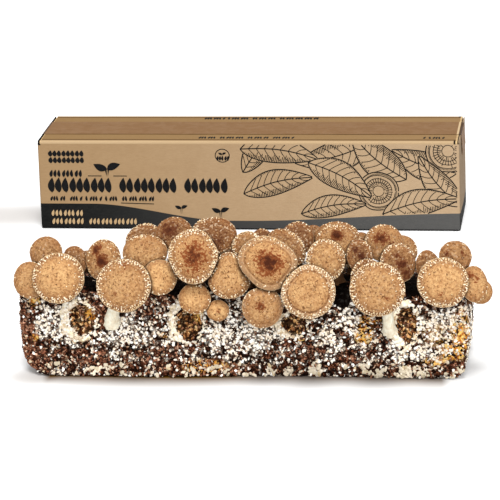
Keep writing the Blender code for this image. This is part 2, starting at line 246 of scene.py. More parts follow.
# Soft oval patches on the block's front face, wrapped over its edges: (x, z, half-width,
# half-height, amount). In GROWTH the mycelium is thicker above 0, and the sawdust bare below 0.
GROWTH = (
    (-189, 54, 18, 17, 1.1), (-173, 52, 8, 18, 0.9), (-119, 43, 28, 13, 0.9),
    (-124, 60, 9, 12, 1.3), (-87, 73, 20, 13, -0.7), (-138, 66, 7, 22, -2.0),
    (-219, 36, 15, 44, -1.7), (-205, 16, 12, 14, -0.8), (-162, 20, 30, 11, -0.8),
    (-86, 24, 26, 8, -0.6), (-46, 31, 15, 7, -0.8), (-2, 44, 38, 17, 1.1),
    (-25, 47, 14, 12, 0.6), (59, 27, 26, 8, -0.5), (44, 38, 9, 7, -0.6),
    (105, 64, 22, 20, 0.5), (85, 42, 16, 12, 0.4), (111, 25, 18, 7, -0.8),
    (155, 28, 12, 10, 0.4), (196, 54, 24, 28, 0.9), (190, 26, 18, 10, 0.5),
    (211, 12, 12, 11, -1.2), (170, 14, 14, 6, -0.7), (75, 88, 30, 7, -0.8),
    (-70, 86, 30, 9, -0.8), (176, 88, 12, 8, -0.8), (-145, 85, 14, 9, -0.8),
    (60, 8, 240, 6, -0.7), (-60, 9, 90, 6, -0.6), (-36, 12, 26, 9, -0.8),
)
RUST = (
    (-138, 67, 7, 24, 1.0), (-214, 32, 17, 38, 1.0), (-150, 20, 30, 12, 0.7),
    (-81, 22, 22, 11, 1.0), (-48, 31, 14, 8, 0.7), (59, 27, 26, 11, 1.0),
    (44, 38, 9, 8, 0.8), (111, 24, 24, 9, 1.0), (212, 14, 12, 14, 1.0),
    (150, 34, 9, 14, 0.6), (-89, 70, 20, 14, 0.5),
)
AMBER = (
    (123, 45, 10, 11, 1.0), (129, 62, 12, 6, 0.8), (216, 50, 9, 30, 0.75),
    (206, 28, 9, 8, 0.8), (-77, 42, 3.5, 3.5, 1.2), (-207, 39, 6, 6, 0.7),
    (-36, 11, 25, 7, 0.95), (-205, 78, 9, 8, 0.6), (190, 18, 12, 6, 0.7),
    (85, 40, 8, 8, 0.35), (-150, 65, 6, 9, 1.3), (-42, 64, 6, 9, 1.1),
    (192, 46, 20, 20, 0.4), (61, 40, 5, 4, 0.6),
)
# Painted shade in the darkest gaps between the caps, where they reach down over the front's upper edge
GLOOM = ((103, 84, 8, 11, 1.0), (-146, 92, 7, 5, 0.5), (169, 90, 7, 6, 0.6), (-60, 92, 20, 6, 0.5))

# Where earlier mushrooms were cut off the front: a hollow, and the pale callus round it, which is
# heaviest at one side
Scar = namedtuple("Scar", "x z half_wide half_tall depth rim heavy")
SCARS = (
    Scar(-159.5, 58, 14.5, 18, 4.5, 2.6, 195),
    Scar(-51.5, 56, 14, 19, 4.5, 2.8, 175),
    Scar(54, 56, 13, 12, 4.0, 1.6, 190),
    Scar(165, 57, 11.5, 20, 4.5, 2.4, 175),
)

# The print: the dark band along the carton's foot, high at the left end, lowest past its swoop,
# and rising a little to the right; each slope as (X where it starts, X where it ends)
BAND_HIGH = 31.0
BAND_LOW = 11.0
BAND_RIGHT = 21.5
BAND_SWOOP = (-240.0, -80.0)
BAND_RISE = (-60.0, 200.0)
ART_PLANE = CARTON_FRONT_Y - 0.12
ART_LEFT, ART_RIGHT = -66.0, 186.0
ART_LOW, ART_HIGH = 12.0, 103.6
BOLD, FINE, RULE = 0.62, 0.4, 0.5  # half the widths of the drawn lines

Leaf = namedtuple("Leaf", "x z length wide angle")
Log = namedtuple("Log", "x z radius rings")
DRAWING = (  # from the back to the front
    Leaf(-60, 70, 70, 26, 48),
    Leaf(186, 70, 80, 34, 160),
    Leaf(92, 108, 96, 36, 196),
    Log(176, 96, 25, 5),
    Leaf(190, 30, 78, 30, 128),
    Leaf(128, 62, 84, 38, 138),
    Leaf(-62, 98, 92, 32, 352),
    Log(96, 48, 23, 5),
    Leaf(-60, 44, 84, 30, 14),
    Leaf(100, 20, 92, 32, 12),
    Leaf(16, 82, 84, 34, 330),
    Leaf(6, 20, 78, 26, 9),
)


# ---------------------------------------------------------------- helpers for modelling by hand


def deselect():
    if bpy.context.object and bpy.context.object.mode == "EDIT":
        bpy.ops.object.mode_set(mode="OBJECT")
    bpy.ops.object.select_all(action="DESELECT")


def only(piece):
    """Makes this piece the only one selected, and the active one."""
    deselect()
    piece.select_set(True)
    bpy.context.view_layer.objects.active = piece


def start_piece(name):
    """Names the primitive that was just added, applies its place and size, and opens it for editing."""
    made = bpy.context.active_object
    made.name = made.data.name = name
    bpy.ops.object.transform_apply(location=True, rotation=True, scale=True)
    bpy.ops.object.mode_set(mode="EDIT")
    bpy.ops.mesh.select_all(action="SELECT")
    return made


def start_box(name, middle, size, unit=MM):
    deselect()
    bpy.ops.mesh.primitive_cube_add(
        size=1, location=[m * unit for m in middle], scale=[s * unit for s in size]
    )
    return start_piece(name)


def start_ball(name, radius):
    deselect()
    bpy.ops.mesh.primitive_ico_sphere_add(subdivisions=1, radius=radius)
    return start_piece(name)


def end_editing():
    bpy.ops.mesh.select_all(action="SELECT")
    bpy.ops.mesh.normals_make_consistent(inside=False)
    bpy.ops.object.mode_set(mode="OBJECT")


def choose(piece, wanted, kind="FACE"):
    """In edit mode, selects the faces or edges whose middle, in millimetres, and normal or
    direction suit."""
    bpy.ops.mesh.select_mode(type=kind)
    bpy.ops.mesh.select_all(action="DESELECT")
    bpy.ops.object.mode_set(mode="OBJECT")
    mesh = piece.data
    if kind == "FACE":
        for face in mesh.polygons:
            face.select = bool(wanted(face.center / MM, face.normal))
    else:
        for edge in mesh.edges:
            one, other = (mesh.vertices[v].co for v in edge.vertices)
            edge.select = bool(wanted((one + other) / 2 / MM, (other - one).normalized()))
    bpy.ops.object.mode_set(mode="EDIT")


def extrude(x=0.0, y=0.0, z=0.0):
    bpy.ops.mesh.extrude_region_move(TRANSFORM_OT_translate={"value": (x, y, z)})


def slice_at(axis, places):
    """In edit mode, cuts the whole piece across one axis at each place, in millimetres."""
    direction = [0.0, 0.0, 0.0]
    direction[axis] = 1.0
    for place in places:
        bpy.ops.mesh.select_all(action="SELECT")
        bpy.ops.mesh.bisect(plane_co=[d * place * MM for d in direction], plane_no=direction)


def apply_modifier(piece, kind, **settings):
    modifier = piece.modifiers.new(kind.lower(), kind)
    for name, value in settings.items():
        setattr(modifier, name, value)
    only(piece)
    bpy.ops.object.modifier_apply(modifier=modifier.name)


def vectors_of(piece, name):
    """The vertices' "co" or "normal" as an array."""
    flat = np.empty(len(piece.data.vertices) * 3, np.float32)
    piece.data.vertices.foreach_get(name, flat)
    return flat.reshape(-1, 3).astype(np.float64)


def points_of(piece):
    """The piece's vertices, in millimetres."""
    return vectors_of(piece, "co") / MM


def move_points(piece, points):
    piece.data.vertices.foreach_set("co", (np.asarray(points) * MM).astype(np.float32).ravel())
    piece.data.update()


def reshape(piece, moved):
    """Moves each vertex to where moved(x, y, z) says, in millimetres."""
    move_points(piece, [moved(*point) for point in points_of(piece)])


def mark(piece, **layers):
    """Stores numbers for each vertex under names that the materials read."""
    for name, values in layers.items():
        layer = piece.data.attributes.new(name, "FLOAT", "POINT")
        layer.data.foreach_set("value", np.asarray(values, np.float32))


def linked(name, data):
    """A new object of this data in the scene."""
    made = bpy.data.objects.new(name, data)
    bpy.context.scene.collection.objects.link(made)
    return made


def own_copy(pattern, name):
    made = pattern.copy()
    made.data = pattern.data.copy()
    made.name = made.data.name = name
    bpy.context.scene.collection.objects.link(made)
    return made


def finish_piece(piece, slot, materials, *nodes, smooth=40):
    """Shades a finished piece, gives it its materials, and sets it in the frame."""
    only(piece)
    if smooth:
        bpy.ops.object.shade_smooth_by_angle(angle=radians(smooth))
    for material in materials:
        piece.data.materials.append(material)
    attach(piece, "root")
    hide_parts(*nodes)


def turned(name, profile, sides):
    """A closed shape turned round Z: a disc extruded from one (radius, height) to the next."""
    deselect()
    first_radius, first_height = profile[0]
    bpy.ops.mesh.primitive_circle_add(
        vertices=sides, radius=first_radius, fill_type="NGON", location=(0, 0, first_height)
    )
    made = start_piece(name)
    for (radius, height), (next_radius, next_height) in zip(profile, profile[1:]):
        extrude(z=next_height - height)
        grow = next_radius / radius
        bpy.ops.transform.resize(value=(grow, grow, 1), center_override=(0, 0, next_height))
    end_editing()
    return made


def joined_copies(name, pattern, places, shades):
    """One mesh of many copies of a small pattern, one for each 4 x 4 matrix in places, each copy
    marked with its own shade."""
    base = points_of(pattern) * MM
    count = len(base)
    turns = np.array([np.array(place) for place in places])
    corners = np.einsum("kij,nj->kni", turns[:, :3, :3], base) + turns[:, None, :3, 3]
    corners[:, :, 2] = np.maximum(corners[:, :, 2], 0.2 * MM)  # nothing reaches under the floor
    faces = [
        [corner + copy * count for corner in face.vertices]
        for copy in range(len(places))
        for face in pattern.data.polygons
    ]
    mesh = bpy.data.meshes.new(name)
    mesh.from_pydata(corners.reshape(-1, 3), [], faces)
    made = linked(name, mesh)
    mark(made, shade=np.repeat(shades, count))
    return made


def set_matrix(rows, place):
    """A 4 x 4 matrix whose axes are the three rows, standing at a place."""
    made = Matrix(rows).transposed().to_4x4()
    made.translation = place
    return made


def rough(x, y, z, size=1, octaves=1):
    """Smooth noise of about -1 to 1 whose lumps are about one size across."""
    point = Vector((x, y, z)) / size
    if octaves == 1:
        return noise.noise(point)
    return noise.fractal(point, 0.9, 2.1, octaves)


def smooth_step(value, low, high):
    share = min(1.0, max(0.0, (value - low) / (high - low)))
    return share * share * (3 - 2 * share)


# ---------------------------------------------------------------- helpers for materials


def paint(red, green, blue):
    """A colour as it looks in the studio light, as the shaders want it: 0 to 255 from black to the
    brightest that shows, and over that for what stays white in half shade."""
    shares = (red / 255, green / 255, blue / 255)
    light = [s / 12.92 if s < 0.04 else ((s + 0.055) / 1.055) ** 2.4 for s in shares]
    return tuple(min(0.95, level / STUDIO_LEVEL) for level in light) + (1.0,)


def put(socket, value):
    """Links a Value to a socket, or sets the socket to a constant, three numbers of a colour
    being painted first."""
    if isinstance(value, Value):
        socket.id_data.links.new(value.socket, socket)
    elif socket.type == "RGBA" and len(value) == 3:
        socket.default_value = paint(*value)
    else:
        socket.default_value = value


def add(tree, kind, inputs, **settings):
    made = tree.nodes.new(kind)
    for name, value in settings.items():
        setattr(made, name, value)
    for name, value in inputs.items():
        put(made.inputs[name], value)
    return made


def combined(kind, values, sockets, output, **settings):
    """A node that takes values, at least one of them a Value, in its numbered inputs."""
    tree = next(v for v in values if isinstance(v, Value)).socket.id_data
    made = add(tree, kind, dict(zip(sockets, values)), **settings)
    return Value(made.outputs[output])


def maths(operation, *values):
    return combined("ShaderNodeMath", values, (0, 1), 0, operation=operation)


def mixed(share, first, second, mode="MIX"):
    values = (share, first, second)
    return combined("ShaderNodeMix", values, (0, 6, 7), 2, data_type="RGBA", blend_type=mode)


class Value:
    """The output of a node, with which the next nodes can be written as sums and products."""

    def __init__(self, socket):
        self.socket = socket

    def __add__(self, other):
        return maths("ADD", self, other)

    def __sub__(self, other):
        return maths("SUBTRACT", self, other)

    def __rsub__(self, other):
        return maths("SUBTRACT", other, self)

    def __mul__(self, other):
        return maths("MULTIPLY", self, other)

    def __truediv__(self, other):
        return maths("DIVIDE", self, other)

    def __abs__(self):
        return maths("ABSOLUTE", self)

    def rise(self, low, high, to_low=0.0, to_high=1.0):
        """to_low where this is low or less, to_high where it is high or more, smooth between."""
        ends = {"From Min": low, "From Max": high, "To Min": to_low, "To Max": to_high}
        kind, smooth = "ShaderNodeMapRange", "SMOOTHSTEP"
        tree = self.socket.id_data
        return Value(add(tree, kind, {"Value": self, **ends}, interpolation_type=smooth).outputs[0])

    def rise_mm(self, low, high, *to):
        return self.rise(low * MM, high * MM, *to)

    def ramp(self, *stops):
        """A colour for each value, from stops of a place and a colour."""
        made = add(self.socket.id_data, "ShaderNodeValToRGB", {"Fac": self})
        elements = made.color_ramp.elements
        while len(elements) < len(stops):
            elements.new(0.5)
        for element, (place, *colour) in zip(elements, stops):
            element.position = place
            element.color = paint(*colour) if len(colour) == 3 else colour
        return Value(made.outputs[0])


def layered(colour, *coats):
    """The colour with each coat, a mask and a colour, laid over it in turn."""
    for mask, coat in coats:
        colour = mixed(mask, colour, coat)
    return colour


def new_group(name, inputs, *outputs):
    """A shader node group that reads a vector and named numbers and puts out numbers."""
    tree = bpy.data.node_groups.new(name, "ShaderNodeTree")
    tree.interface.new_socket("Vector", in_out="INPUT", socket_type="NodeSocketVector")
    for label, start in inputs.items():
        socket = tree.interface.new_socket(label, in_out="INPUT", socket_type="NodeSocketFloat")
        socket.default_value = start
    for label in outputs:
        tree.interface.new_socket(label, in_out="OUTPUT", socket_type="NodeSocketFloat")
    entry = tree.nodes.new("NodeGroupInput").outputs
    entry = {label: Value(entry[label]) for label in ("Vector", *inputs)}
    return tree, entry, tree.nodes.new("NodeGroupOutput").inputs


def noise_in(tree, output="Fac", **inputs):
    return Value(add(tree, "ShaderNodeTexNoise", inputs).outputs[output])


def speck_group():
    """Small specks: where fine noise stands over an edge."""
    tree, entry, leave = new_group("specks", {"Scale": 900.0, "Edge": 0.6, "Soft": 0.05}, "Mask")
    edge = entry["Edge"]
    grain = noise_in(tree, Vector=entry["Vector"], Scale=entry["Scale"], Detail=2.0, Roughness=0.6)
    put(leave["Mask"], grain.rise(edge, edge + entry["Soft"]))
    return tree


def mottle_group():
    """Cloudy shade with soft edges, from 0 to 1."""
    tree, entry, leave = new_group("mottle", {"Scale": 100.0, "Warp": 0.6}, "Shade")
    look = {"Detail": 5.0, "Roughness": 0.62, "Distortion": entry["Warp"]}
    cloud = noise_in(tree, Vector=entry["Vector"], Scale=entry["Scale"], **look)
    put(leave["Shade"], cloud.rise(0.3, 0.7))
    return tree


def granule_group():
    """Packed granules: a random shade for each, and a height that falls off at its edge."""
    tree, entry, leave = new_group("granules", {"Scale": 300.0, "Stray": 0.002}, "Shade", "Height")
    place = entry["Vector"]
    stray = noise_in(tree, "Color", Vector=place, Scale=500.0, Detail=1.0)
    kind = "ShaderNodeVectorMath"
    push = add(tree, kind, {0: stray, "Scale": entry["Stray"]}, operation="SCALE").outputs[0]
    moved = add(tree, kind, {0: place, 1: Value(push)}, operation="ADD").outputs[0]
    cell = {"Vector": Value(moved), "Scale": entry["Scale"], "Randomness": 1.0}
    cells = add(tree, "ShaderNodeTexVoronoi", cell).outputs
    split = add(tree, "ShaderNodeSeparateColor", {"Color": Value(cells["Color"])}).outputs
    put(leave["Shade"], Value(split["Red"]))
    put(leave["Height"], Value(cells["Distance"]).rise(0.75, 0.1))
    return tree


SPECKS = speck_group()
MOTTLE = mottle_group()
GRANULES = granule_group()


class Surface:
    """A material being made: its nodes, its shader, and the places that its patterns read."""

    def __init__(self, name, shine=0.25):
        self.material = bpy.data.materials.new(name)
        self.material.use_nodes = True
        self.tree = self.material.node_tree
        self.place = Value(add(self.tree, "ShaderNodeTexCoord", {}).outputs["Object"])
        self.shader = self.tree.nodes["Principled BSDF"].inputs
        self.shader["Specular IOR Level"].default_value = shine

    def read(self, *names):
        """What mark() stored under one or several names."""
        kind = "ShaderNodeAttribute"
        made = [add(self.tree, kind, {}, attribute_name=name).outputs["Fac"] for name in names]
        return [Value(socket) for socket in made] if len(made) > 1 else Value(made[0])

    def axis(self, letter):
        axes = add(self.tree, "ShaderNodeSeparateXYZ", {"Vector": self.place}).outputs
        return Value(axes[letter])

    def stretched(self, *scale):
        """Places drawn out so that a pattern becomes fibres."""
        inputs = {"Vector": self.place, "Scale": scale}
        return Value(add(self.tree, "ShaderNodeMapping", inputs).outputs[0])

    def grouped(self, group, size, place, **inputs):
        made = self.tree.nodes.new("ShaderNodeGroup")
        made.node_tree = group
        inputs = {"Vector": place or self.place, "Scale": 1 / (size * MM), **inputs}
        for name, value in inputs.items():
            put(made.inputs[name], value)
        return [Value(socket) for socket in made.outputs]

    def specks(self, size, edge, soft=0.05, place=None):
        """A mask of specks about size millimetres apart."""
        return self.grouped(SPECKS, size, place, Edge=edge, Soft=soft)[0]

    def mottle(self, size, warp=0.6, place=None):
        return self.grouped(MOTTLE, size, place, Warp=warp)[0]

    def granules(self, size, stray):
        """The granules' shades and heights."""
        return self.grouped(GRANULES, size, None, Stray=stray)

    def dress(self, colour, roughness, height=None, strength=1.0, distance=1.0):
        """Gives the shader its colour, its roughness and, if there is a height, its relief."""
        put(self.shader["Base Color"], colour)
        put(self.shader["Roughness"], roughness)
        if height:
            inputs = {"Height": height, "Strength": strength, "Distance": distance * MM}
            relief = add(self.tree, "ShaderNodeBump", inputs).outputs["Normal"]
            put(self.shader["Normal"], Value(relief))
        return self.material


# ---------------------------------------------------------------- materials

GOLD = (248, 198, 138)
TAN = (206, 147, 93)
UMBER = (120, 74, 48)
RED_STAIN = (150, 82, 44)
DARK_STAIN = (80, 40, 24)
CREAM = (270, 246, 208)
LIP = (250, 212, 168)
GAP_BLACK = (14, 5, 2)
KRAFT_SHADE = (140, 104, 66)
OPENING_SHADE = (14, 10, 8)


def cap_skin():
    """Matt golden skin, browner on the darker caps, with painted shade towards the rim, in the groove
    beside the second ring, under the rim's edge and close behind other caps' rims, fine specks and
    scurf, a ragged stain, cream flecks towards the rim, and a pale lip."""
    skin = Surface("cap_skin", 0.03)
    share, flecked, stain, ledge, tone = skin.read("share", "flecked", "stain", "ledge", "tone")
    cloud, blotch, grit = skin.mottle(9), skin.mottle(4.2, 0.4), skin.mottle(2.3, 0.2)
    colour = layered(
        mixed(cloud * 0.6, GOLD, TAN),
        (tone, UMBER),
        # browner towards the rim: painted shade where the cap curves over
        (share.rise(0.5, 0.86, 0.0, 0.45), (192, 130, 80)),
    )
    grime = grit.ramp((0.0, 0.50, 0.40, 0.32, 1), (0.4, 0.91, 0.88, 0.85, 1), (0.75, 1, 1, 1, 1))
    colour = mixed(0.9, colour, grime, "MULTIPLY")
    # painted shade in the groove inside the second ring
    groove_shade = share.rise(0.71, 0.76) * share.rise(0.83, 0.78) * blotch.rise(0.1, 0.9, 0.3, 0.9)
    under_scales = share.rise(0.80, 0.88) * share.rise(0.985, 0.95)
    colour = layered(
        colour,
        (blotch.rise(0.35, 0.0, 0.0, 0.35), UMBER),
        (share.rise(0.79, 0.83) * ledge * 0.75, LIP),
        (groove_shade * maths("MINIMUM", ledge * 1.5, 1.0), UMBER),
        (under_scales * ((flecked * 0.7 + 0.2) * ledge.rise(0, 1, 1.0, 0.5)), (140, 90, 54)),
        (skin.specks(2.2, 0.60, 0.04) * share.rise(0.25, 0.9, 0.85, 0.5), (98, 54, 30)),
        (skin.specks(2.1, 0.60) * 0.30, (270, 222, 154)),
        (skin.specks(1.9, 0.54) * tone * 0.75, (112, 64, 38)),
        (skin.specks(2.7, 0.59, 0.04) * tone * 0.75, (246, 214, 178)),
    )
    stained = (stain + grit * 0.75 + blotch * 0.35).rise(0.82, 1.12) * stain.rise(0.02, 0.25)
    rusty = mixed(tone, RED_STAIN, (84, 50, 34))
    fleck = skin.specks(2.4, 0.60, 0.03)
    colour = layered(
        colour,
        (stained, mixed((stain + blotch * 0.4).rise(0.7, 1.2), rusty, DARK_STAIN)),
        (fleck * (share.rise(0.76, 0.90) * flecked), CREAM),
        (share.rise(0.965, 0.99) * blotch.rise(0, 1, 0.6, 0.95), LIP),
        # painted shade on the outer underside of the rim, a dark edge under the lip
        (skin.read("below") * 0.85, (70, 42, 26)),
        # painted shade where the cap lies close behind another cap's rim
        (skin.read("tucked") * 0.9, (34, 18, 11)),
    )
    return skin.dress(colour, stained.rise(0, 1, 0.8, 0.6), grit + fleck * 0.6, 0.8, 0.6)


def gill_flesh():
    gill = Surface("gill_flesh", 0.1)
    cloud = gill.mottle(5)
    colour = mixed(cloud, (310, 288, 248), (268, 232, 184))
    colour = mixed(gill.specks(2.0, 0.62) * 0.6, colour, (150, 102, 66))
    return gill.dress(colour, cloud.rise(0, 1, 0.7, 0.85), cloud, 0.4, 0.3)


def stem_flesh():
    """Fibrous along the stem; white on the palest. The others are brown towards -Y and towards the
    cap, partly their own colour and partly painted shade, and paler on their back sides.
    """
    stem = Surface("stem_flesh", 0.05)
    pale = stem.read("pale")
    fibre = stem.mottle(1.6, 0.3, stem.stretched(1, 1, 0.22))
    cloud = stem.mottle(7)
    upper = stem.read("along").rise(0.6, 1.0)
    colour = layered(
        # brown on all but the palest stems: partly their own colour, partly painted shade in the gaps
        # between the caps
        mixed(cloud, (150, 108, 72), (104, 68, 44)),
        (pale.rise(0.3, 0.9), mixed(cloud, (335, 324, 300), (308, 288, 250))),
        (fibre * pale.rise(0.2, 0.9, 0.6, 0.12), (130, 88, 58)),
        # browner towards the cap: partly painted shade under it
        (upper * pale.rise(0.3, 0.9, 0.7, 0.0), (92, 58, 36)),
    )
    return stem.dress(colour, fibre.rise(0, 1, 0.75, 0.9), fibre, 0.9, 0.9)


def fleck_skin():
    fleck = Surface("fleck_skin", 0.08)
    shade = fleck.read("shade")
    colour = shade.ramp(
        (0.0, 226, 176, 118), (0.3, 262, 228, 174), (0.65, 285, 262, 224), (1.0, 300, 284, 252)
    )
    colour = mixed(fleck.mottle(0.9) * 0.15, colour, TAN)
    return fleck.dress(colour, shade.rise(0, 1, 0.75, 0.6))


def block_skin():
    """Packed sawdust, red-brown where it is bare and black in the gaps, with white mycelium over
    it in clumps and resin here and there, granular hollows, cream callus round them, painted shade
    round the white clumps' edges, and near-black painted shade under the caps."""
    skin = Surface("block_skin", 0.02)
    shade, lump = skin.granules(3.8, 0.0024)
    fine_shade, fine_lump = skin.granules(2.5, 0.0012)
    cloud = skin.mottle(6)
    grain = noise_in(skin.tree, Vector=skin.place, Scale=240.0, Detail=2.5, Roughness=0.55)
    amber, pit = skin.read("amber", "pit")
    wood = shade.ramp(
        (0.0, 30, 11, 4),
        (0.3, 100, 54, 32),
        (0.55, 158, 98, 68),
        (0.8, 220, 160, 122),
        (1.0, 285, 250, 216),
    )
    rusty = fine_shade.ramp(
        (0.0, 84, 38, 20), (0.45, 172, 106, 78), (0.8, 244, 180, 146), (1.0, 290, 250, 218)
    )
    field = maths("MINIMUM", skin.read("growth"), 0.24) + grain * 1.25 + shade * 0.42 + 0.09
    # painted shade in a ring round the white clumps' edges
    crevice_shade = field.rise(0.62, 0.76) * field.rise(0.90, 0.84)
    wood = layered(
        wood,
        ((skin.read("rust") + cloud).rise(0.65, 1.1), rusty),
        (lump.rise(0.26, 0.44, 0.85, 0.0), GAP_BLACK),
        (fine_lump.rise(0.15, 0.42, 0.8, 0.0), (22, 9, 5)),
        (crevice_shade * 0.95, GAP_BLACK),
    )
    resin = fine_shade.ramp((0.0, 196, 104, 22), (0.4, 262, 178, 66), (1.0, 306, 256, 150))
    mould = layered(
        mixed(fine_shade, (332, 328, 318), (300, 276, 242)),
        (lump.rise(0.36, 0.48, 1, 0) * cloud.rise(0, 1, 1.0, 0.7), (30, 14, 8)),
        (fine_lump.rise(0.24, 0.44, 0.75, 0.0), (88, 54, 36)),
        (amber.rise(0.2, 0.9) * cloud.rise(0.35, 0.7), resin),
    )
    olive = fine_shade.ramp(
        (0.0, 50, 20, 6),
        (0.3, 130, 82, 44),
        (0.6, 200, 136, 82),
        (0.85, 260, 200, 132),
        (1.0, 300, 256, 190),
    )
    olive = mixed(lump.rise(0.3, 0.55, 0.9, 0.0), olive, (24, 13, 8))
    cream = layered(
        mixed(cloud, (322, 316, 298), (292, 268, 220)),
        (shade.rise(0.78, 0.95, 0.0, 0.7), (206, 160, 104)),
        (lump.rise(0.18, 0.34, 0.4, 0.0), (150, 104, 66)),
    )
    white = field.rise(0.86, 0.90)
    callus = skin.read("callus") + grain * 1.2 + shade * 0.35
    colour = layered(
        wood,
        (white, mould),
        (skin.specks(3.4, 0.50, 0.04) * amber.rise(0.2, 0.7) * 0.8, resin),
        ((pit + grain * 0.8).rise(0.7, 0.9), olive),
        (amber.rise(0.3, 0.9) * pit * skin.specks(3.0, 0.44, 0.08) * 0.85, resin),
        (callus.rise(1.00, 1.09), cream),
        # near-black painted shade under the caps and close behind their rims
        ((skin.read("shade_under_caps") + grain * 0.8).rise(0.60, 0.88, 0.0, 0.985), (9, 4, 2)),
    )
    height = lump * 0.6 + fine_lump * 0.4 + white * 1.1
    return skin.dress(colour, white.rise(0, 1, 0.8, 0.95), height, 0.8, 1.0)


def chip_wood():
    chip = Surface("chip_wood", 0.02)
    colour = chip.read("shade").ramp(
        (0.0, 18, 6, 2),
        (0.3, 76, 38, 22),
        (0.6, 154, 96, 70),
        (0.8, 204, 142, 106),
        (0.92, 262, 222, 184),
        (1.0, 310, 300, 284),
    )
    grain = chip.mottle(0.8, 0.2, chip.stretched(1, 1, 3))
    colour = mixed(grain * 0.4, colour, (40, 22, 15))
    return chip.dress(colour, grain.rise(0, 1, 0.7, 0.9), grain, 0.5, 0.3)


def mycelium():
    """White felt; shade leads from white over greenish cream to amber."""
    felt = Surface("mycelium", 0.02)
    colour = felt.read("shade").ramp(
        (0.0, 330, 328, 322),
        (0.45, 298, 276, 244),
        (0.6, 268, 254, 228),
        (0.75, 240, 224, 190),
        (0.88, 290, 232, 120),
        (1.0, 236, 142, 42),
    )
    dull = felt.mottle(1.6)
    colour = mixed(dull * 0.2, colour, (150, 126, 106))
    return felt.dress(colour, dull.rise(0, 1, 0.88, 0.97), dull, 0.6, 0.4)


def kraft(name, left, right):
    """Brown liner board, cloudy and with fine fibres along X: the surface, how far along the carton
    it is, its fibres, and its colour."""
    board = Surface(name, 0.06)
    fibre = board.mottle(1.2, 0.3, board.stretched(0.25, 1, 1))
    across = board.axis("X").rise_mm(CARTON_LEFT, CARTON_RIGHT)
    colour = layered(
        mixed(across, left, right),
        (board.mottle(34) * 0.12, KRAFT_SHADE),
        (fibre * 0.14, KRAFT_SHADE),
        (board.specks(1.0, 0.68, 0.04, board.stretched(0.4, 1, 1)) * 0.35, (120, 84, 54)),
    )
    return board, across, fibre, colour


def dress_kraft(board, fibre, colour):
    """Gives the board its faint flutes."""
    flute = maths("SINE", board.axis("X") * (2 * pi / (FLUTE * MM)))
    return board.dress(colour, fibre.rise(0, 1, 0.75, 0.9), fibre + flute * 0.35, 0.15, 0.3)


def wall_board():
    """The walls: painted light that grows towards the right, a shaded right end, the printed band,
    painted lighter grey towards the right as a painted sheen, painted shade in the open corner at
    the top left, and painted shade along the foot."""
    # the walls' kraft is painted lighter towards the right end: painted light from the right
    board, across, fibre, colour = kraft("kraft_board", (180, 148, 109), (206, 177, 142))
    x, z = board.axis("X"), board.axis("Z")
    end = x.rise_mm(CARTON_RIGHT - 1.2, CARTON_RIGHT - 0.2)
    fall = x.rise_mm(*BAND_SWOOP, BAND_HIGH, BAND_LOW)
    top = (fall + x.rise_mm(*BAND_RISE, 0.0, BAND_RIGHT - BAND_LOW)) * MM
    # the ink is painted lighter grey towards the right: a painted sheen
    band = mixed(across, (16, 17, 17), (97, 96, 94))
    band = layered(band, (fibre * 0.2, (70, 69, 66)), (end * 0.75, (24, 24, 24)))
    # painted shade where the top left corner stands open
    opening_shade_mask = x.rise_mm(CARTON_LEFT + 3.6, CARTON_LEFT + 2.6)
    opening_shade_mask = opening_shade_mask * z.rise_mm(CARTON_HEIGHT - 5.4, CARTON_HEIGHT - 4.4)
    colour = layered(
        colour,
        (end * 0.55, (128, 110, 90)),
        ((z - top).rise_mm(0.15, -0.15), band),
        (opening_shade_mask, OPENING_SHADE),
        # painted shade along the rounded foot
        (z.rise_mm(2.4, 1.2) * 0.9, (10, 10, 10)),
    )
    return dress_kraft(board, fibre, colour)


def flap_board():
    """The flaps: darker than the walls as painted shade, a painted highlight on the long rounded edges,
    painted shade in the crease beside each, and painted shade in the open corners at the right end.
    """
    # the flaps' kraft is darker than the walls': painted shade on the top
    board, _, fibre, colour = kraft("kraft_flap", (160, 127, 84), (164, 131, 89))
    apart = abs(board.axis("Y") - CARTON_MIDDLE_Y * MM)
    outer = CARTON_DEPTH / 2
    crease = outer - CREASE_IN
    # painted shade where the right end's front corner stands open
    opening_shade_mask = board.axis("X").rise_mm(CARTON_RIGHT - 7.0, CARTON_RIGHT - 6.0)
    colour = layered(
        colour,
        # painted highlight on the rounded long folds
        (apart.rise_mm(crease + 2.6, crease + 4.0) * 0.85, (208, 178, 138)),
        # painted shade in the scored crease
        (abs(apart - crease * MM).rise_mm(2.2, 1.0) * 0.75, (84, 58, 34)),
        (opening_shade_mask * apart.rise_mm(outer - 6.0, outer - 5.0), OPENING_SHADE),
    )
    return dress_kraft(board, fibre, colour)


def cut_board():
    """The raw cut end of the board: pale, with its flutes showing."""
    cut = Surface("cut_board")
    wave = maths("SINE", cut.axis("Y") * (2 * pi / (6.0 * MM)))
    fibre = cut.mottle(1.5)
    colour = mixed(wave.rise(-0.4, 0.6), (236, 204, 150), (198, 158, 106))
    colour = mixed(fibre * 0.3, colour, (150, 112, 72))
    return cut.dress(colour, fibre.rise(0, 1, 0.8, 0.9), wave, 0.4, 0.5)


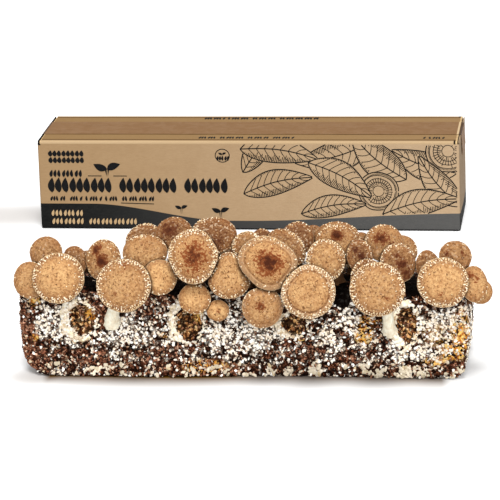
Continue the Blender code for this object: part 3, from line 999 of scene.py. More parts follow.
def tape_film():
    """Brown packing tape: a smooth film with cloudy glue under it and fine streaks along it, with a
    painted highlight where it turns over the right end, and painted shade where it dips behind the
    end panels' rims."""
    film = Surface("tape_film", 0.12)
    streak = film.mottle(2.2, 0.1, film.stretched(0.06, 1, 1))
    cloud = film.mottle(14)
    x, z = film.axis("X"), film.axis("Z")
    # painted highlight where the tape turns over the right end
    turn = x.rise_mm(CARTON_RIGHT - 5.0, CARTON_RIGHT - 4.4)
    turn = turn * x.rise_mm(CARTON_RIGHT - 2.2, CARTON_RIGHT - 2.8)
    # painted shade where the tape dips behind the end panels' rims
    right = x.rise_mm(CARTON_RIGHT - 2.6, CARTON_RIGHT - 1.8)
    left = x.rise_mm(CARTON_LEFT + 2.6, CARTON_LEFT + 1.8)
    dip_shade = maths("MAXIMUM", right, left) * z.rise_mm(CARTON_HEIGHT - 1.0, CARTON_HEIGHT - 0.2)
    colour = layered(
        mixed(streak, (152, 113, 72), (140, 102, 62)),
        (cloud * 0.3, (128, 90, 54)),
        (turn * 0.85, (232, 202, 156)),
        (dip_shade * 0.8, (50, 32, 20)),
    )
    return film.dress(colour, cloud.rise(0, 1, 0.5, 0.62), streak, 0.15, 0.3)


def plain(name, shine, size, first, second, *rough_ends):
    """Two colours in soft clouds: the painted shade in the slots, and the inks."""
    made = Surface(name, shine)
    cloud = made.mottle(size)
    return made.dress(mixed(cloud, first, second), cloud.rise(0, 1, *rough_ends))


# ---------------------------------------------------------------- mushrooms


def facing(azimuth, elevation):
    """The crown's direction, and the two directions across the rim's plane: right and up."""
    around, above = radians(azimuth), radians(elevation)
    crown = Vector((sin(around) * cos(above), -cos(around) * cos(above), sin(above)))
    right = Vector((cos(around), sin(around), 0.0))
    return crown, right, crown.cross(right)


def mean_radius(plan):
    return (plan.wide + plan.tall) / 4


def outline_radius(plan, angle):
    """The rim's distance from the cap's middle: an ellipse, pressed in where there is a dent."""
    turned_angle = angle - radians(plan.turn)
    a, b = plan.wide / 2, plan.tall / 2
    radius = a * b / np.sqrt((b * np.cos(turned_angle)) ** 2 + (a * np.sin(turned_angle)) ** 2)
    for at, depth, half_width in plan.dents:
        away = (angle - radians(at) + pi) % (2 * pi) - pi
        radius = radius * (1 - depth * np.exp(-((away / radians(half_width)) ** 2)))
    return radius


def crowded(points, skip=0):
    """How far each point lies close behind another cap's rim, from 0 to 1: how much painted contact
    shade it gets.
    """
    tucked = np.zeros(len(points))
    for number, plan in enumerate(CROP, start=1):
        if number == skip:
            continue
        away = points - np.array(plan.centre)
        crown, right, up = (away @ np.array(way) for way in facing(plan.azimuth, plan.elevation))
        reach = np.hypot(right, up) / outline_radius(plan, np.arctan2(up, right))
        beside = np.clip((1.11 - reach) / 0.11, 0, 1)
        behind = np.clip((3 - crown) / 5, 0, 1) * np.exp(-np.clip(-crown - 6, 0, None) / 12)
        tucked = np.maximum(tucked, beside * behind)
    return tucked


def cap_point(plan, look, number, angle, share, height):
    """A place on a cap: the turned profile, drawn to the cap's outline and made uneven."""
    crown, right, up = facing(plan.azimuth, plan.elevation)
    cx, cy = cos(angle), sin(angle)

    def uneven(size, seed, part=1.0):
        return rough(cx * part * size, cy * part * size, number * seed)

    waver = 1 + 0.022 * uneven(1.4, 5.3)
    waver += 0.012 * uneven(4.0, 3.1)
    waver += 0.018 * share**6 * uneven(9, 1.1)
    spread = outline_radius(plan, angle) * share * waver
    inside = 1 - min(share, 1.0) ** 6
    raised = height + (0.045 * uneven(1.6, 2.7, share) + 0.018 * uneven(4.5, 9.1, share)) * inside
    if height > 0.09:
        raised += 0.012 * uneven(14, 1.7, share)
        raised -= 0.045 * look.ledge * exp(-(((share - 0.80) / 0.035) ** 2))
        raised += 0.030 * look.ledge * exp(-(((share - 0.885) / 0.04) ** 2))
    if look.knob and height > 0:
        away = hypot(cx * share - look.knob[0], cy * share - look.knob[1]) / look.knob[2]
        raised += look.knob[3] * exp(-(away**4))
    return Vector(plan.centre) + (right * cx + up * cy) * spread + crown * raised * mean_radius(plan)


def stain_at(look, x, y):
    amount = 0.0
    for right, up, reach, strength in look.stains:
        away = hypot(x - right, y - up) / reach
        amount = max(amount, strength * exp(-(away**2) * 1.1))
    return amount


def leaning(look, angle):
    """How much of the flecks stand at this side of the rim."""
    if look.lean is None:
        return 1.0
    return 0.18 + 0.82 * max(0.0, cos((angle - radians(look.lean)) / 2)) ** 4


def finish_mushroom(piece, number, smooth, material):
    finish_piece(piece, "mushroom", (material,), f"mushroom_{number:02d}", smooth=smooth)


def grow_cap(pattern, number, plan, look, material):
    """One cap, shaped from the turned pattern."""
    cap = own_copy(pattern, f"cap_{number:02d}")
    shape = vectors_of(cap, "co")
    moved, share, stain, flecked, below = [], [], [], [], []
    for x, y, z in shape:
        radius, angle = hypot(x, y), atan2(y, x)
        moved.append(cap_point(plan, look, number, angle, radius, z))
        under = z < -0.118 or (z < UNDERSIDE and radius < LIP_INSIDE)
        share.append(0.90 if under else radius)
        stain.append(0.0 if under else stain_at(look, x, y))
        # painted shade under the rim's outer edge, none on the gills' plate inside the lip
        below.append(0.0 if under and radius < LIP_INSIDE else smooth_step(-z, -0.02, 0.06))
        flecked.append(look.flecks * leaning(look, angle))
    move_points(cap, moved)
    mark(cap, share=share, stain=stain, flecked=flecked, below=below)
    mark(cap, tucked=crowded(points_of(cap), number))
    mark(cap, tone=[look.tone] * len(shape), ledge=[look.ledge] * len(shape))
    finish_mushroom(cap, number, 60, material)


def gill_pattern():
    """A ring of thin blades under a cap of radius 1, long and short by turns, each a box drawn
    down at its middle."""
    blades = []
    for turn in range(GILLS):
        deep, start = (0.052, 0.14) if turn % 2 else (0.060, 0.42)
        length = GILL_END - start
        blade = start_box("gill", (start + length / 2, 0, -0.05), (length, 0.010, 0.02), 1)
        slice_at(0, [(start + length * part) / MM for part in (0.25, 0.5, 0.75)])
        choose(blade, lambda middle, normal: normal.z < -0.9)
        bpy.ops.transform.translate(value=(0, 0, -deep * 0.35))
        end_editing()
        for corner in blade.data.vertices:
            part = (corner.co.x - start) / length
            if corner.co.z < -0.055:
                corner.co.z -= deep * (1 - (2 * part - 1) ** 2) * 0.9
        blade.data.transform(Matrix.Rotation(2 * pi * turn / GILLS, 4, "Z"))
        blades.append(blade)
    only(blades[0])
    for blade in blades:
        blade.select_set(True)
    bpy.ops.object.join()
    return blades[0]


def grow_gills(pattern, number, plan, look, material):
    gills = own_copy(pattern, f"gills_{number:02d}")
    move_points(gills, [
        cap_point(plan, look, number, atan2(y, x), hypot(x, y), z) for x, y, z in vectors_of(gills, "co")
    ])
    finish_mushroom(gills, number, 40, material)


def seat_of(plan):
    """The foot's place, sunk into the block, and the direction that the stem takes from there.
    On the front it turns up as soon as it is out of the block."""
    first, second = plan.foot
    if plan.seat == "top":
        return Vector((first, second, BLOCK_HEIGHT + CLEARANCE - FOOT_SUNK)), Vector((0, 0, 1))
    if plan.seat == "front":
        foot = Vector((first, FOOT_SUNK - BLOCK_DEPTH / 2 - CLEARANCE, second))
        return foot, Vector((0, -0.75, 0.66))
    return Vector((BLOCK_LENGTH / 2 + CLEARANCE - FOOT_SUNK, first, second)), Vector((1, 0, 0))


def grow_stem(pattern, number, plan, look, material):
    """A stem bent along a cubic curve from its foot on the block to the middle of the gills."""
    stem = own_copy(pattern, f"stem_{number:02d}")
    crown, right, _ = facing(plan.azimuth, plan.elevation)
    foot, away = seat_of(plan)
    head = Vector(plan.centre) + crown * GILL_HEIGHT * mean_radius(plan) + right * plan.hold
    reach = (head - foot).length * STEM_REACH * 0.8
    bones = (foot, foot + away * reach, head - crown * reach, head)
    spread = 0.45 if look.pale > 0.5 else 0.75
    moved, along_values, pale_values = [], [], []
    for x, y, z in vectors_of(stem, "co"):
        place, left = z, 1 - z
        weights = (left**3, 3 * left**2 * place, 3 * left * place**2, place**3)
        middle = sum((bone * weight for bone, weight in zip(bones, weights)), Vector())
        slopes = (left**2, 2 * left * place, place**2)
        steps = ((after - bone) * slope for bone, after, slope in zip(bones, bones[1:], slopes))
        along = sum(steps, Vector()).normalized()
        across = (right - along * along.dot(right)).normalized()
        angle = atan2(y, x)
        cx, cy = cos(angle), sin(angle)
        flare = 1 + spread * exp(-place * 9) + 0.35 * exp(-left * 10) - 0.06 * sin(place * pi)
        ridge = 1 + 0.07 * rough(cx * 2, cy * 2, place * 4 + number)
        lobe = 1 + 0.35 * exp(-place * 12) * rough(cx * 2.5, cy * 2.5, number * 4.0)
        outward = across * cx + along.cross(across) * cy
        moved.append(middle + outward * plan.stem_radius * hypot(x, y) * flare * ridge * lobe)
        along_values.append(place)
        # the side towards -Y stays brown as painted shade; the back side is paler
        pale_values.append(max(look.pale, 0.25 + 0.5 * smooth_step(outward.y, -0.35, 0.8)))
    move_points(stem, moved)
    mark(stem, along=along_values, pale=pale_values)
    finish_mushroom(stem, number, 70, material)


def rim_height(share):
    """The profile's height at a share of the radius, on its upper side."""
    upper = [pair for pair in CAP_PROFILE if pair[1] >= -0.03]
    return float(np.interp(share, *zip(*upper)))


def grow_flecks(pattern, number, plan, look, material):
    """The cream scales that stand on a cap: wedges in rows beside the rim, and a few small ones
    farther in."""
    mean = mean_radius(plan)
    places, shades = [], []

    def on_cap(angle, share):
        return cap_point(plan, look, number, angle, share, rim_height(share))

    def lay(angle, share, size, stretch):
        point = on_cap(angle, share)
        outward = on_cap(angle, share + 0.02) - point
        normal = outward.cross(on_cap(angle + 0.05, share) - point).normalized()
        outward.normalize()
        turn = chance.normal(0, 0.25)
        long_way = outward * cos(turn) + normal.cross(outward) * sin(turn)
        axes = (long_way * size * stretch, normal.cross(long_way) * size, normal * size * 0.6)
        places.append(Matrix.Scale(MM, 4) @ set_matrix(axes, point + normal * 0.12))
        shades.append(chance.random())

    for row_share, gap, keep in FLECK_ROWS:
        count = int(2 * pi * mean * row_share / gap)
        for step in range(count):
            angle = 2 * pi * (step + chance.uniform(-0.32, 0.32)) / count - pi
            share = row_share + chance.normal(0, 0.009)
            size, stretch = chance.uniform(0.55, 0.9), chance.uniform(1.1, 1.9)
            if chance.random() < keep * look.flecks * leaning(look, angle) * 1.25:
                lay(angle, min(share, 0.985), size, stretch)
    for _ in range(int(look.flecks * 1.6 * mean)):
        angle, share = chance.uniform(-pi, pi), 0.80 - abs(chance.normal(0, 0.10))
        size = chance.uniform(0.35, 0.65)
        if chance.random() < leaning(look, angle):
            lay(angle, max(share, 0.35), size, 1.2)
    if places:
        flecks = joined_copies(f"flecks_{number:02d}", pattern, places, shades)
        finish_mushroom(flecks, number, 60, material)


def crop():
    cap = turned("cap_pattern", CAP_PROFILE, CAP_SIDES)
    steps = [(1.0, step / STEM_STEPS) for step in range(STEM_STEPS + 1)]
    stem = turned("stem_pattern", steps, STEM_SIDES)
    gills = gill_pattern()
    fleck = start_ball("fleck_pattern", 1)
    end_editing()
    skin, blade, flesh, cream = cap_skin(), gill_flesh(), stem_flesh(), fleck_skin()
    for number, (plan, look) in enumerate(zip(CROP, LOOKS), start=1):
        grow_cap(cap, number, plan, look, skin)
        grow_gills(gills, number, plan, look, blade)
        grow_stem(stem, number, plan, look, flesh)
        grow_flecks(fleck, number, plan, look, cream)
    for pattern in (cap, stem, gills, fleck):
        bpy.data.objects.remove(pattern)


# ---------------------------------------------------------------- the block


def patches(table, x, z):
    """The sum of a table's soft oval patches at a place on the front face."""
    total = 0.0
    for mid_x, mid_z, wide, tall, amount in table:
        away = ((x - mid_x) / wide) ** 2 + ((z - mid_z) / tall) ** 2
        if away < 9:
            total += amount * exp(-(away**1.5))
    return total


def growth_at(x, y, z):
    """How thickly the mycelium stands, about -1 to 1, before the fine grain is added."""
    front = min(1.0, max(0.0, (-y - 20) / 20))
    base = 0.25 + 0.55 * rough(x, y, z, 38) + 0.5 * rough(x + 90, y, z, 15)
    shaped = 0.20 + 0.85 * rough(x, y, z, 12) + patches(GROWTH, x, z)
    base -= 0.9 * smooth_step(z, 84, 90) * smooth_step(-y + 14 * rough(x, y, 0, 16), -26, -6)
    return base * (1 - front) + shaped * front


def shade_under_caps_at(x, y, z):
    """Painted shade on the top under the crowd of caps, and along the ragged upper edge of the front."""
    under = smooth_step(z + 7 * rough(x, y, z, 10), 86, 92)
    if y < -30:
        under = min(1.0, under + 1.3 * patches(GLOOM, x + 4 * rough(x, 0, z, 7), z))
    covered = 1 - 0.72 * smooth_step(y + 6 * rough(x, y, 0, 14), -16, 6)
    behind = smooth_step(y + 12 * rough(x, y, 0, 16), 4, 30)
    ends = smooth_step(abs(x) + 8 * rough(0, y, z, 12), 190, 212)
    return under * covered * (1 - behind) * (1 - ends)


def in_scar(x, z):
    """The nearest scar, how far out from its middle this is, with its edge at 1, and how much this
    is on its heavy side."""
    best, found, heavy = 9.0, None, 0.0
    for scar in SCARS:
        right, up = (x - scar.x) / scar.half_wide, (z - scar.z) / scar.half_tall
        away = hypot(right, up) / (1 + 0.14 * rough(x, 0, z, 9) + 0.06 * rough(x, 9, z, 4))
        if away < best:
            best, found = away, scar
            heavy = 0.5 + 0.5 * cos(atan2(up, right) - radians(scar.heavy))
    return found, best, heavy


def scarred(x, y, z, shift):
    """How hollow the skin is here, how swollen, and its shift with both put in."""
    scar, away, heavy = in_scar(x, z)
    hollow = smooth_step(1 - away, 0.0, 0.22)
    thick = 0.13 + 0.13 * heavy**2
    ring = exp(-(((away - 1.02 - thick * 0.6) / thick) ** 2))
    swollen = ring * (0.42 + 0.8 * heavy**2) * min(1, scar.rim / 2.4)
    swollen *= 1 + 0.9 * rough(x, y, z, 4.5)
    shift = shift * (1 - 0.5 * hollow)
    shift[1] += scar.depth * smooth_step(1 - away, 0.0, 0.5)
    shift[1] += 0.9 * hollow * rough(x, y, z, 4) - scar.rim * 1.1 * swollen
    return hollow, swollen, shift


def substrate(material):
    """The block's skin: a rounded box remeshed to an even grain, then made lumpy, pitted between
    the tufts of mycelium, hollowed at the scars, and swollen round them. Returns the skin and
    what it is marked with."""
    size = (BLOCK_LENGTH, BLOCK_DEPTH, BLOCK_HEIGHT)
    skin = start_box("block_skin", (0, 0, BLOCK_HEIGHT / 2), size)
    half = BLOCK_LENGTH / 2
    for side, offset in ((-1, BLOCK_LEFT_ROUND), (1, BLOCK_RIGHT_ROUND)):
        choose(skin, lambda mid, way: mid.x * side > half - 1 and mid.z < 1, "EDGE")
        bpy.ops.mesh.bevel(offset=offset * MM, segments=7)
    choose(
        skin,
        lambda mid, way: abs(way.x) > 0.9 or (abs(way.y) > 0.9 and mid.z > 90) or abs(way.z) > 0.2,
        "EDGE",
    )
    bpy.ops.mesh.bevel(offset=BLOCK_EDGE_ROUND * MM, segments=3)
    end_editing()
    apply_modifier(skin, "REMESH", mode="VOXEL", voxel_size=BLOCK_CELL * MM)
    marks = {name: [] for name in ("growth", "rust", "amber", "pit", "callus", "shade_under_caps")}
    moved = []
    for (x, y, z), normal in zip(points_of(skin), vectors_of(skin, "normal")):
        front = y < -BLOCK_DEPTH / 2 + 14
        field = growth_at(x, y, z) * 0.36 + 0.52 * rough(x, y, z, 5.2, 2) - 0.10
        lump = 1.2 * rough(x, y, z, 9) + 1.1 * min(0.7, max(-0.9, field + 0.2)) - 1.1
        shift = np.array(normal) * lump
        hollow = swollen = 0.0
        if y < -BLOCK_DEPTH / 2 + 8:
            hollow, swollen, shift = scarred(x, y, z, shift)
        marks["growth"].append(field)
        marks["rust"].append(patches(RUST, x, z) if front else 0.45 + 0.5 * rough(x, y, z, 30))
        marks["amber"].append(patches(AMBER, x, z) if front else 0.3 * rough(x + 50, y, z, 18))
        marks["pit"].append(hollow)
        marks["callus"].append(swollen)
        # painted shade under the caps, left off the callus
        marks["shade_under_caps"].append(shade_under_caps_at(x, y, z) * (1 - min(1.0, 3 * swollen)))
        bulge = END_BULGE * smooth_step(abs(x), 170, half) * sin(pi * min(1.0, z / BLOCK_HEIGHT))
        shift[0] += bulge * 1.8 if x > 0 else -bulge
        foot = max(0.0, 1 - z / 26) ** 1.7 * smooth_step(-y, 24, 44)
        shift[1] -= foot * (1.4 + 8.0 * smooth_step(-x, -40, 110) + 2.5 * rough(x, 0, z, 6))
        shift[2] *= min(1.0, z / 3)  # the underside stays down on the floor
        moved.append((x + shift[0], y + shift[1], max(z + shift[2], 0.0)))
    move_points(skin, moved)
    # painted contact shade on the block close behind the caps' rims
    tucked = 0.85 * crowded(np.array(moved))
    marks["shade_under_caps"] = np.maximum(marks["shade_under_caps"], tucked * (1 - np.clip(marks["callus"], 0, 1)))
    mark(skin, **marks)
    finish_piece(skin, "mycelium_block", (material,), "substrate_block", smooth=180)
    return skin, {name: np.asarray(values, np.float32) for name, values in marks.items()}


def lying(point, normal, sizes, tilt=0.35):
    """A matrix that lays a small piece of these sizes on the skin, turned at random."""
    normal = Vector(normal) + Vector(chance.normal(0, tilt, 3))
    normal.normalize()
    side = normal.cross(Vector(chance.normal(0, 1, 3))).normalized()
    other = normal.cross(side)
    axes = (side * sizes[0], other * sizes[1], normal * sizes[2])
    return Matrix.Scale(MM, 4) @ set_matrix(axes, Vector(point))


def scatter(skin, name, pattern, count, weights, smallest, largest, sink, shade_of, material):
    """Lays small pieces over the skin, most where the weights are high."""
    points, normals = points_of(skin), vectors_of(skin, "normal")
    share = np.clip(weights, 0, None)
    chosen = chance.choice(len(points), size=count, replace=False, p=share / share.sum())
    places, shades = [], []
    for index in chosen:
        sizes = chance.uniform(smallest, largest)
        point = points[index] - normals[index] * sink * sizes[2]
        places.append(lying(point, normals[index], sizes))
        shades.append(shade_of(index))
    made = joined_copies(name, pattern, places, shades)
    finish_piece(made, "mycelium_block", (material,), "substrate_block", smooth=30)


def chip_pattern():
    """A splinter: a box with one end drawn in."""
    chip = start_box("chip_pattern", (0, 0, 0), (1, 1, 1), 1)
    choose(chip, lambda middle, normal: normal.x > 0.9)
    bpy.ops.transform.resize(value=(1, 0.45, 0.6), center_override=(0.5, 0.1, 0))
    end_editing()
    return chip


def tuft_pattern():
    """A lobed clump: a small ball pulled out of round."""
    tuft = start_ball("tuft_pattern", 0.5)
    end_editing()
    for corner in tuft.data.vertices:
        corner.co *= 1 + 0.6 * noise.noise(corner.co * 5.1)
    return tuft


def grains(skin, marks, wood, felt):
    """The loose surface of the block: splinters, tufts, and the bigger pale clumps at its foot."""
    points = points_of(skin)
    growth, rust, amber, pit, callus, shade_under_caps = marks.values()
    swollen = np.clip(callus, 0, 1)
    above = points[:, 2] > 1.5
    seen = np.where(points[:, 1] < -30, 1.6, 0.8) * above * (1 - shade_under_caps) ** 2
    chip, tuft = chip_pattern(), tuft_pattern()

    def wood_shade(index):
        even = 1.8 if rust[index] > 0.5 else 0.8
        shade = chance.beta(even, 1.15 * even) + 0.06 * rust[index] + 0.15 * pit[index]
        return float(np.clip(shade, 0, 0.82 if pit[index] > 0.4 or rust[index] > 0.5 else 1))

    def felt_shade(index):
        tint = 0.95 * max(0.0, amber[index]) * chance.random() + 0.12 * min(1, callus[index])
        return float(np.clip(chance.uniform(0, 0.45) + tint, 0, 1))

    bare = 0.09 + np.clip(0.05 - growth, 0, 1)
    bare *= 1 - 0.95 * np.clip(1.8 * callus, 0, 1)
    grown = (np.clip(growth, 0, 0.5) + 0.02 + 0.15 * swollen) * (1 - pit)
    low = np.exp(-(((points[:, 2] - 7) / 5) ** 2)) * np.where(points[:, 0] > -60, 1.0, 0.35)
    low *= np.where(np.abs(points[:, 0] + 32) < 30, 0.35, 1.0)
    low *= np.clip(0.1 + np.array([rough(x, 0, z, 14) for x, y, z in points]), 0.01, 1.2)
    for name, pattern, count, weights, smallest, largest, sink, shade_of, material in (
        ("sawdust_chips", chip, 5600, bare, (1.4, 1.1, 0.6), (3.8, 2.3, 1.4), 0.15, wood_shade, wood),
        ("mycelium_tufts", tuft, 2500, grown, (1.9, 1.6, 1.0), (5.2, 3.8, 2.3), 0.1, felt_shade, felt),
        ("pale_clumps", tuft, 350, low, (3.0, 2.4, 1.5), (8.0, 5.6, 3.0), 0.1,
         lambda index: chance.uniform(0.5, 0.78), felt),
    ):
        scatter(skin, name, pattern, count, seen * weights, smallest, largest, sink, shade_of, material)
    bpy.data.objects.remove(chip)
    bpy.data.objects.remove(tuft)


# ---------------------------------------------------------------- the carton


def carton_walls(board, shade):
    """The four walls, and the folded ends, whose edges stand up beside the long flaps' ends."""
    tall = CARTON_HEIGHT - BOARD
    half = CARTON_LENGTH / 2
    middle = (CARTON_X, CARTON_MIDDLE_Y, tall / 2)
    walls = start_box("carton_walls", middle, (CARTON_LENGTH, CARTON_DEPTH, tall))
    choose(walls, lambda mid, way: abs(way.z) > 0.9 or mid.z < 1, "EDGE")
    bpy.ops.mesh.bevel(offset=2.2 * MM, segments=4)
    slice_at(0, [CARTON_X + offset for offset in range(-220, 221, 20)])
    slice_at(0, [CARTON_LEFT + END_RIM, CARTON_RIGHT - END_RIM])
    slice_at(1, [CARTON_FRONT_Y + offset for offset in range(3, 100, 12)])
    slice_at(2, range(8, 102, 12))
    choose(
        walls,
        lambda mid, way: mid.z > tall - 0.1
        and abs(mid.x - CARTON_X) > half - END_RIM
        and abs(mid.y - CARTON_MIDDLE_Y) < CARTON_DEPTH / 2 - 3,
    )
    extrude(z=(BOARD - 0.4) * MM)
    end_editing()

    def moved(x, y, z):
        up = z / tall
        if abs(x - CARTON_X) > 0.98 * half and up < 0.99:  # the ends belly out
            full = max(0.0, sin(pi * (y - CARTON_FRONT_Y) / CARTON_DEPTH)) * max(0.0, sin(pi * up))
            x += (1 if x > CARTON_X else -1) * (1.6 + 0.5 * rough(x, y, z, 30)) * full
        if 0.1 < up < 0.97:
            y += 0.15 * rough(x, y, z, 45)
        if x < CARTON_X:  # the left end leans out a little towards the foot
            x -= (0.6 + 2.2 * (1 - up)) * smooth_step(CARTON_X - x, half - 60, half)
        return x, y, z

    reshape(walls, moved)
    finish_piece(walls, "kraft_board", (board, shade), "carton", smooth=35)
    # painted shade on the walls' tops inside the slots and on the end rims' inner faces
    for face in walls.data.polygons:
        low = face.center.z < (tall + 0.2) * MM
        inward = face.normal.x * (CARTON_X * MM - face.center.x) > 0.1 and face.center.z > tall * MM
        face.material_index = int((face.normal.z > 0.9 and low) or inward)


def carton_flap(name, side, board, cut):
    """A long flap: a plate with a rounded fold and a scored crease beside it, its ends cut raw."""
    wide = CARTON_DEPTH / 2 - FLAP_GAP
    middle = (CARTON_X, CARTON_MIDDLE_Y + side * (FLAP_GAP + wide / 2), CARTON_HEIGHT - BOARD / 2)
    flap = start_box(name, middle, (CARTON_LENGTH - 2 * FLAP_SHORT, wide, BOARD))
    outer = CARTON_MIDDLE_Y + side * CARTON_DEPTH / 2
    upper = CARTON_HEIGHT - 2
    choose(flap, lambda mid, way: abs(way.x) > 0.9 and mid.z > upper and abs(mid.y - outer) < 1, "EDGE")
    bpy.ops.mesh.bevel(offset=2.0 * MM, segments=4)
    crease = outer - side * CREASE_IN
    slice_at(1, [crease - 1.2, crease, crease + 1.2, outer - side * 16, outer - side * 30])
    slice_at(0, [CARTON_X + offset for offset in range(-220, 221, 20)])
    left, right = CARTON_LEFT + FLAP_SHORT + 0.9, CARTON_RIGHT - FLAP_SHORT - 2.0
    slice_at(0, [left, right])
    end_editing()

    def moved(x, y, z):
        if z > CARTON_HEIGHT - 1.1:
            z -= 0.9 if abs(y - crease) < 0.1 else 0
            z += 0.12 * rough(x, y, z, 40)
        return x, y, z

    reshape(flap, moved)
    finish_piece(flap, "kraft_board", (board, cut), "carton", smooth=35)
    for face in flap.data.polygons:  # raw where it is cut, and where the liner is worn beside that
        face.material_index = int(not left * MM < face.center.x < right * MM)


def tape(film):
    """A strip along the top seam that slopes over both ends and turns down them."""
    deselect()
    flat = CARTON_LENGTH / 2 - FLAP_SHORT
    middle = Vector((CARTON_X, CARTON_MIDDLE_Y, CARTON_HEIGHT + TAPE_LIFT))
    bpy.ops.mesh.primitive_plane_add(size=1, location=middle * MM)
    bpy.context.active_object.scale = (2 * flat * MM, TAPE_WIDTH * MM, 1)
    strip = start_piece("packing_tape_strip")
    fold = (  # each step out from the top's end and down
        (FLAP_SHORT - END_RIM, -0.3),
        (END_RIM + 0.2, -0.1),
        (0.25, -0.6),
        (0.25, -4.0),
        (0.55, -7.0),
        (0.35, -6.0),
        (0.3, -6.5),
    )
    for side in (-1, 1):
        edge = CARTON_X + side * flat
        choose(strip, lambda mid, way: abs(mid.x - edge) < 0.1 and abs(way.y) > 0.9, "EDGE")
        for out, down in fold:
            extrude(x=side * out * MM, z=down * MM)
    slice_at(0, [CARTON_X + offset for offset in range(-230, 231, 10)])
    slice_at(1, [CARTON_MIDDLE_Y + offset for offset in range(-18, 19, 6)])
    end_editing()

    def moved(x, y, z):
        if z > CARTON_HEIGHT:
            z += 0.12 + 0.12 * rough(x, y * 3, z, 30)
        return x, y, z

    reshape(strip, moved)
    apply_modifier(strip, "SOLIDIFY", thickness=TAPE_THICKNESS * MM, offset=1)
    finish_piece(strip, "packing_tape", (film,), "packing_tape", smooth=35)


# ---------------------------------------------------------------- the print: plain leaves and logs


def leaf_edge(leaf, part):
    """The half-width and the bow of a leaf, part of the way along it."""
    return leaf.wide / 2 * sin(pi * part**0.8) ** 0.9, 0.06 * leaf.length * sin(pi * part)


def leaf_place(leaf, part, offset):
    """A point part of the way along a leaf, offset as a share of its half-width."""
    half, bow = leaf_edge(leaf, part)
    along, across = leaf.length * part, half * offset + bow
    turn = radians(leaf.angle)
    return (
        leaf.x + along * cos(turn) - across * sin(turn),
        leaf.z + along * sin(turn) + across * cos(turn),
    )


def inside_leaf(leaf, x, z):
    turn = radians(leaf.angle)
    along = (x - leaf.x) * cos(turn) + (z - leaf.z) * sin(turn)
    across = -(x - leaf.x) * sin(turn) + (z - leaf.z) * cos(turn)
    part = along / leaf.length
    if not 0 < part < 1:
        return False
    half, bow = leaf_edge(leaf, part)
    return abs(across - bow) < half


def log_place(log, turn, reach):
    return log.x + reach * cos(turn), log.z + reach * sin(turn)


def log_reach(log, angle, ring):
    waver = 1 + 0.05 * rough(cos(angle) * 1.5, sin(angle) * 1.5, log.x + ring * 0.3)
    return log.radius * ring * waver


def inside_log(log, x, z):
    angle = atan2(z - log.z, x - log.x)
    return hypot(x - log.x, z - log.z) < log_reach(log, angle, 1.0)


def band_top(x):
    fall = BAND_HIGH + (BAND_LOW - BAND_HIGH) * smooth_step(x, *BAND_SWOOP)
    return fall + (BAND_RIGHT - BAND_LOW) * smooth_step(x, *BAND_RISE)


def hidden(x, z, above):
    if not (ART_LEFT < x < ART_RIGHT and ART_LOW < z < ART_HIGH) or z < band_top(x) + 0.8:
        return True
    return any((inside_leaf if isinstance(s, Leaf) else inside_log)(s, x, z) for s in above)


def leaf_strokes(leaf):
    """The outline and the midrib, bold; paired side veins, and hatching along both edges."""
    for offset in (1, -1, 0):
        yield BOLD, [leaf_place(leaf, step / 24, offset) for step in range(25)]
    for vein in range(1, 9):
        for side in (-1, 1):
            yield FINE, [
                leaf_place(leaf, vein / 10 + 0.13 * reach, side * 0.94 * reach**0.8)
                for reach in (0, 0.25, 0.5, 0.75, 1)
            ]
    ticks = int(leaf.length / 2.1)
    for tick in range(ticks):
        part = 0.04 + 0.92 * tick / ticks
        for side, most in ((-1, 0.55), (1, 0.25)):
            depth = most * (1 + 0.6 * rough(tick * 0.7, leaf.x, side))
            yield FINE, [
                leaf_place(leaf, part + 0.012 * reach, side * (1 - depth * reach))
                for reach in (0, 0.5, 1)
            ]


def log_strokes(log):
    """Growth rings, radial cracks, and short strokes for the bark."""
    for ring in range(1, log.rings + 1):
        share = (ring / log.rings) ** 0.8
        turns = [2 * pi * step / 40 for step in range(41)]
        line = [log_place(log, turn, log_reach(log, turn, share)) for turn in turns]
        yield BOLD if ring == log.rings else FINE, line
    for crack in range(30):
        turn = 2 * pi * crack / 30 + 0.3
        inner = 0.3 + 0.3 * abs(rough(crack * 2.3, log.x, 1))
        shares = (inner, inner + 0.2, inner + 0.4)
        yield FINE, [log_place(log, turn + 0.05 * share, log.radius * share) for share in shares]
    for bark in range(90):
        turn = 2 * pi * bark / 90
        yield FINE, [log_place(log, turn, log.radius * share) for share in (0.86, 0.98)]


def visible_runs(stroke, above):
    """The stretches of a stroke that no shape above it covers."""
    run = []
    for (x0, z0), (x1, z1) in zip(stroke, stroke[1:]):
        steps = max(1, int(hypot(x1 - x0, z1 - z0) / 1.2))
        for step in range(steps):
            x = x0 + (x1 - x0) * step / steps
            z = z0 + (z1 - z0) * step / steps
            if not hidden(x, z, above):
                run.append((x, z))
                continue
            if len(run) > 1:
                yield run
            run = []
    if len(run) > 1:
        yield run


def inked(name, lines, **settings):
    """A curve through each line's points, made a mesh; a flat curve's lines close on themselves."""
    deselect()
    curve = bpy.data.curves.new(name, "CURVE")
    for setting, value in settings.items():
        setattr(curve, setting, value)
    for line in lines:
        spline = curve.splines.new("POLY")
        spline.points.add(len(line) - 1)
        spline.use_cyclic_u = curve.dimensions == "2D"
        for point, place in zip(spline.points, line):
            point.co = (*Vector(place) * MM, 1)
    only(linked(name, curve))
    bpy.ops.object.convert(target="MESH")
    return bpy.context.active_object


def drawn_lines(name, runs, half_width, material):
    """Lines of ink with square edges, pressed flat on the board."""
    lines = [[(x, 0, z) for x, z in run] for run in runs]
    square = {"bevel_depth": half_width * MM, "bevel_resolution": 0, "use_fill_caps": True}
    made = inked(name, lines, dimensions="3D", **square)
    reshape(made, lambda x, y, z: (x, ART_PLANE + y * 0.25, z))
    finish_piece(made, "kraft_board", (material,), "carton", smooth=0)


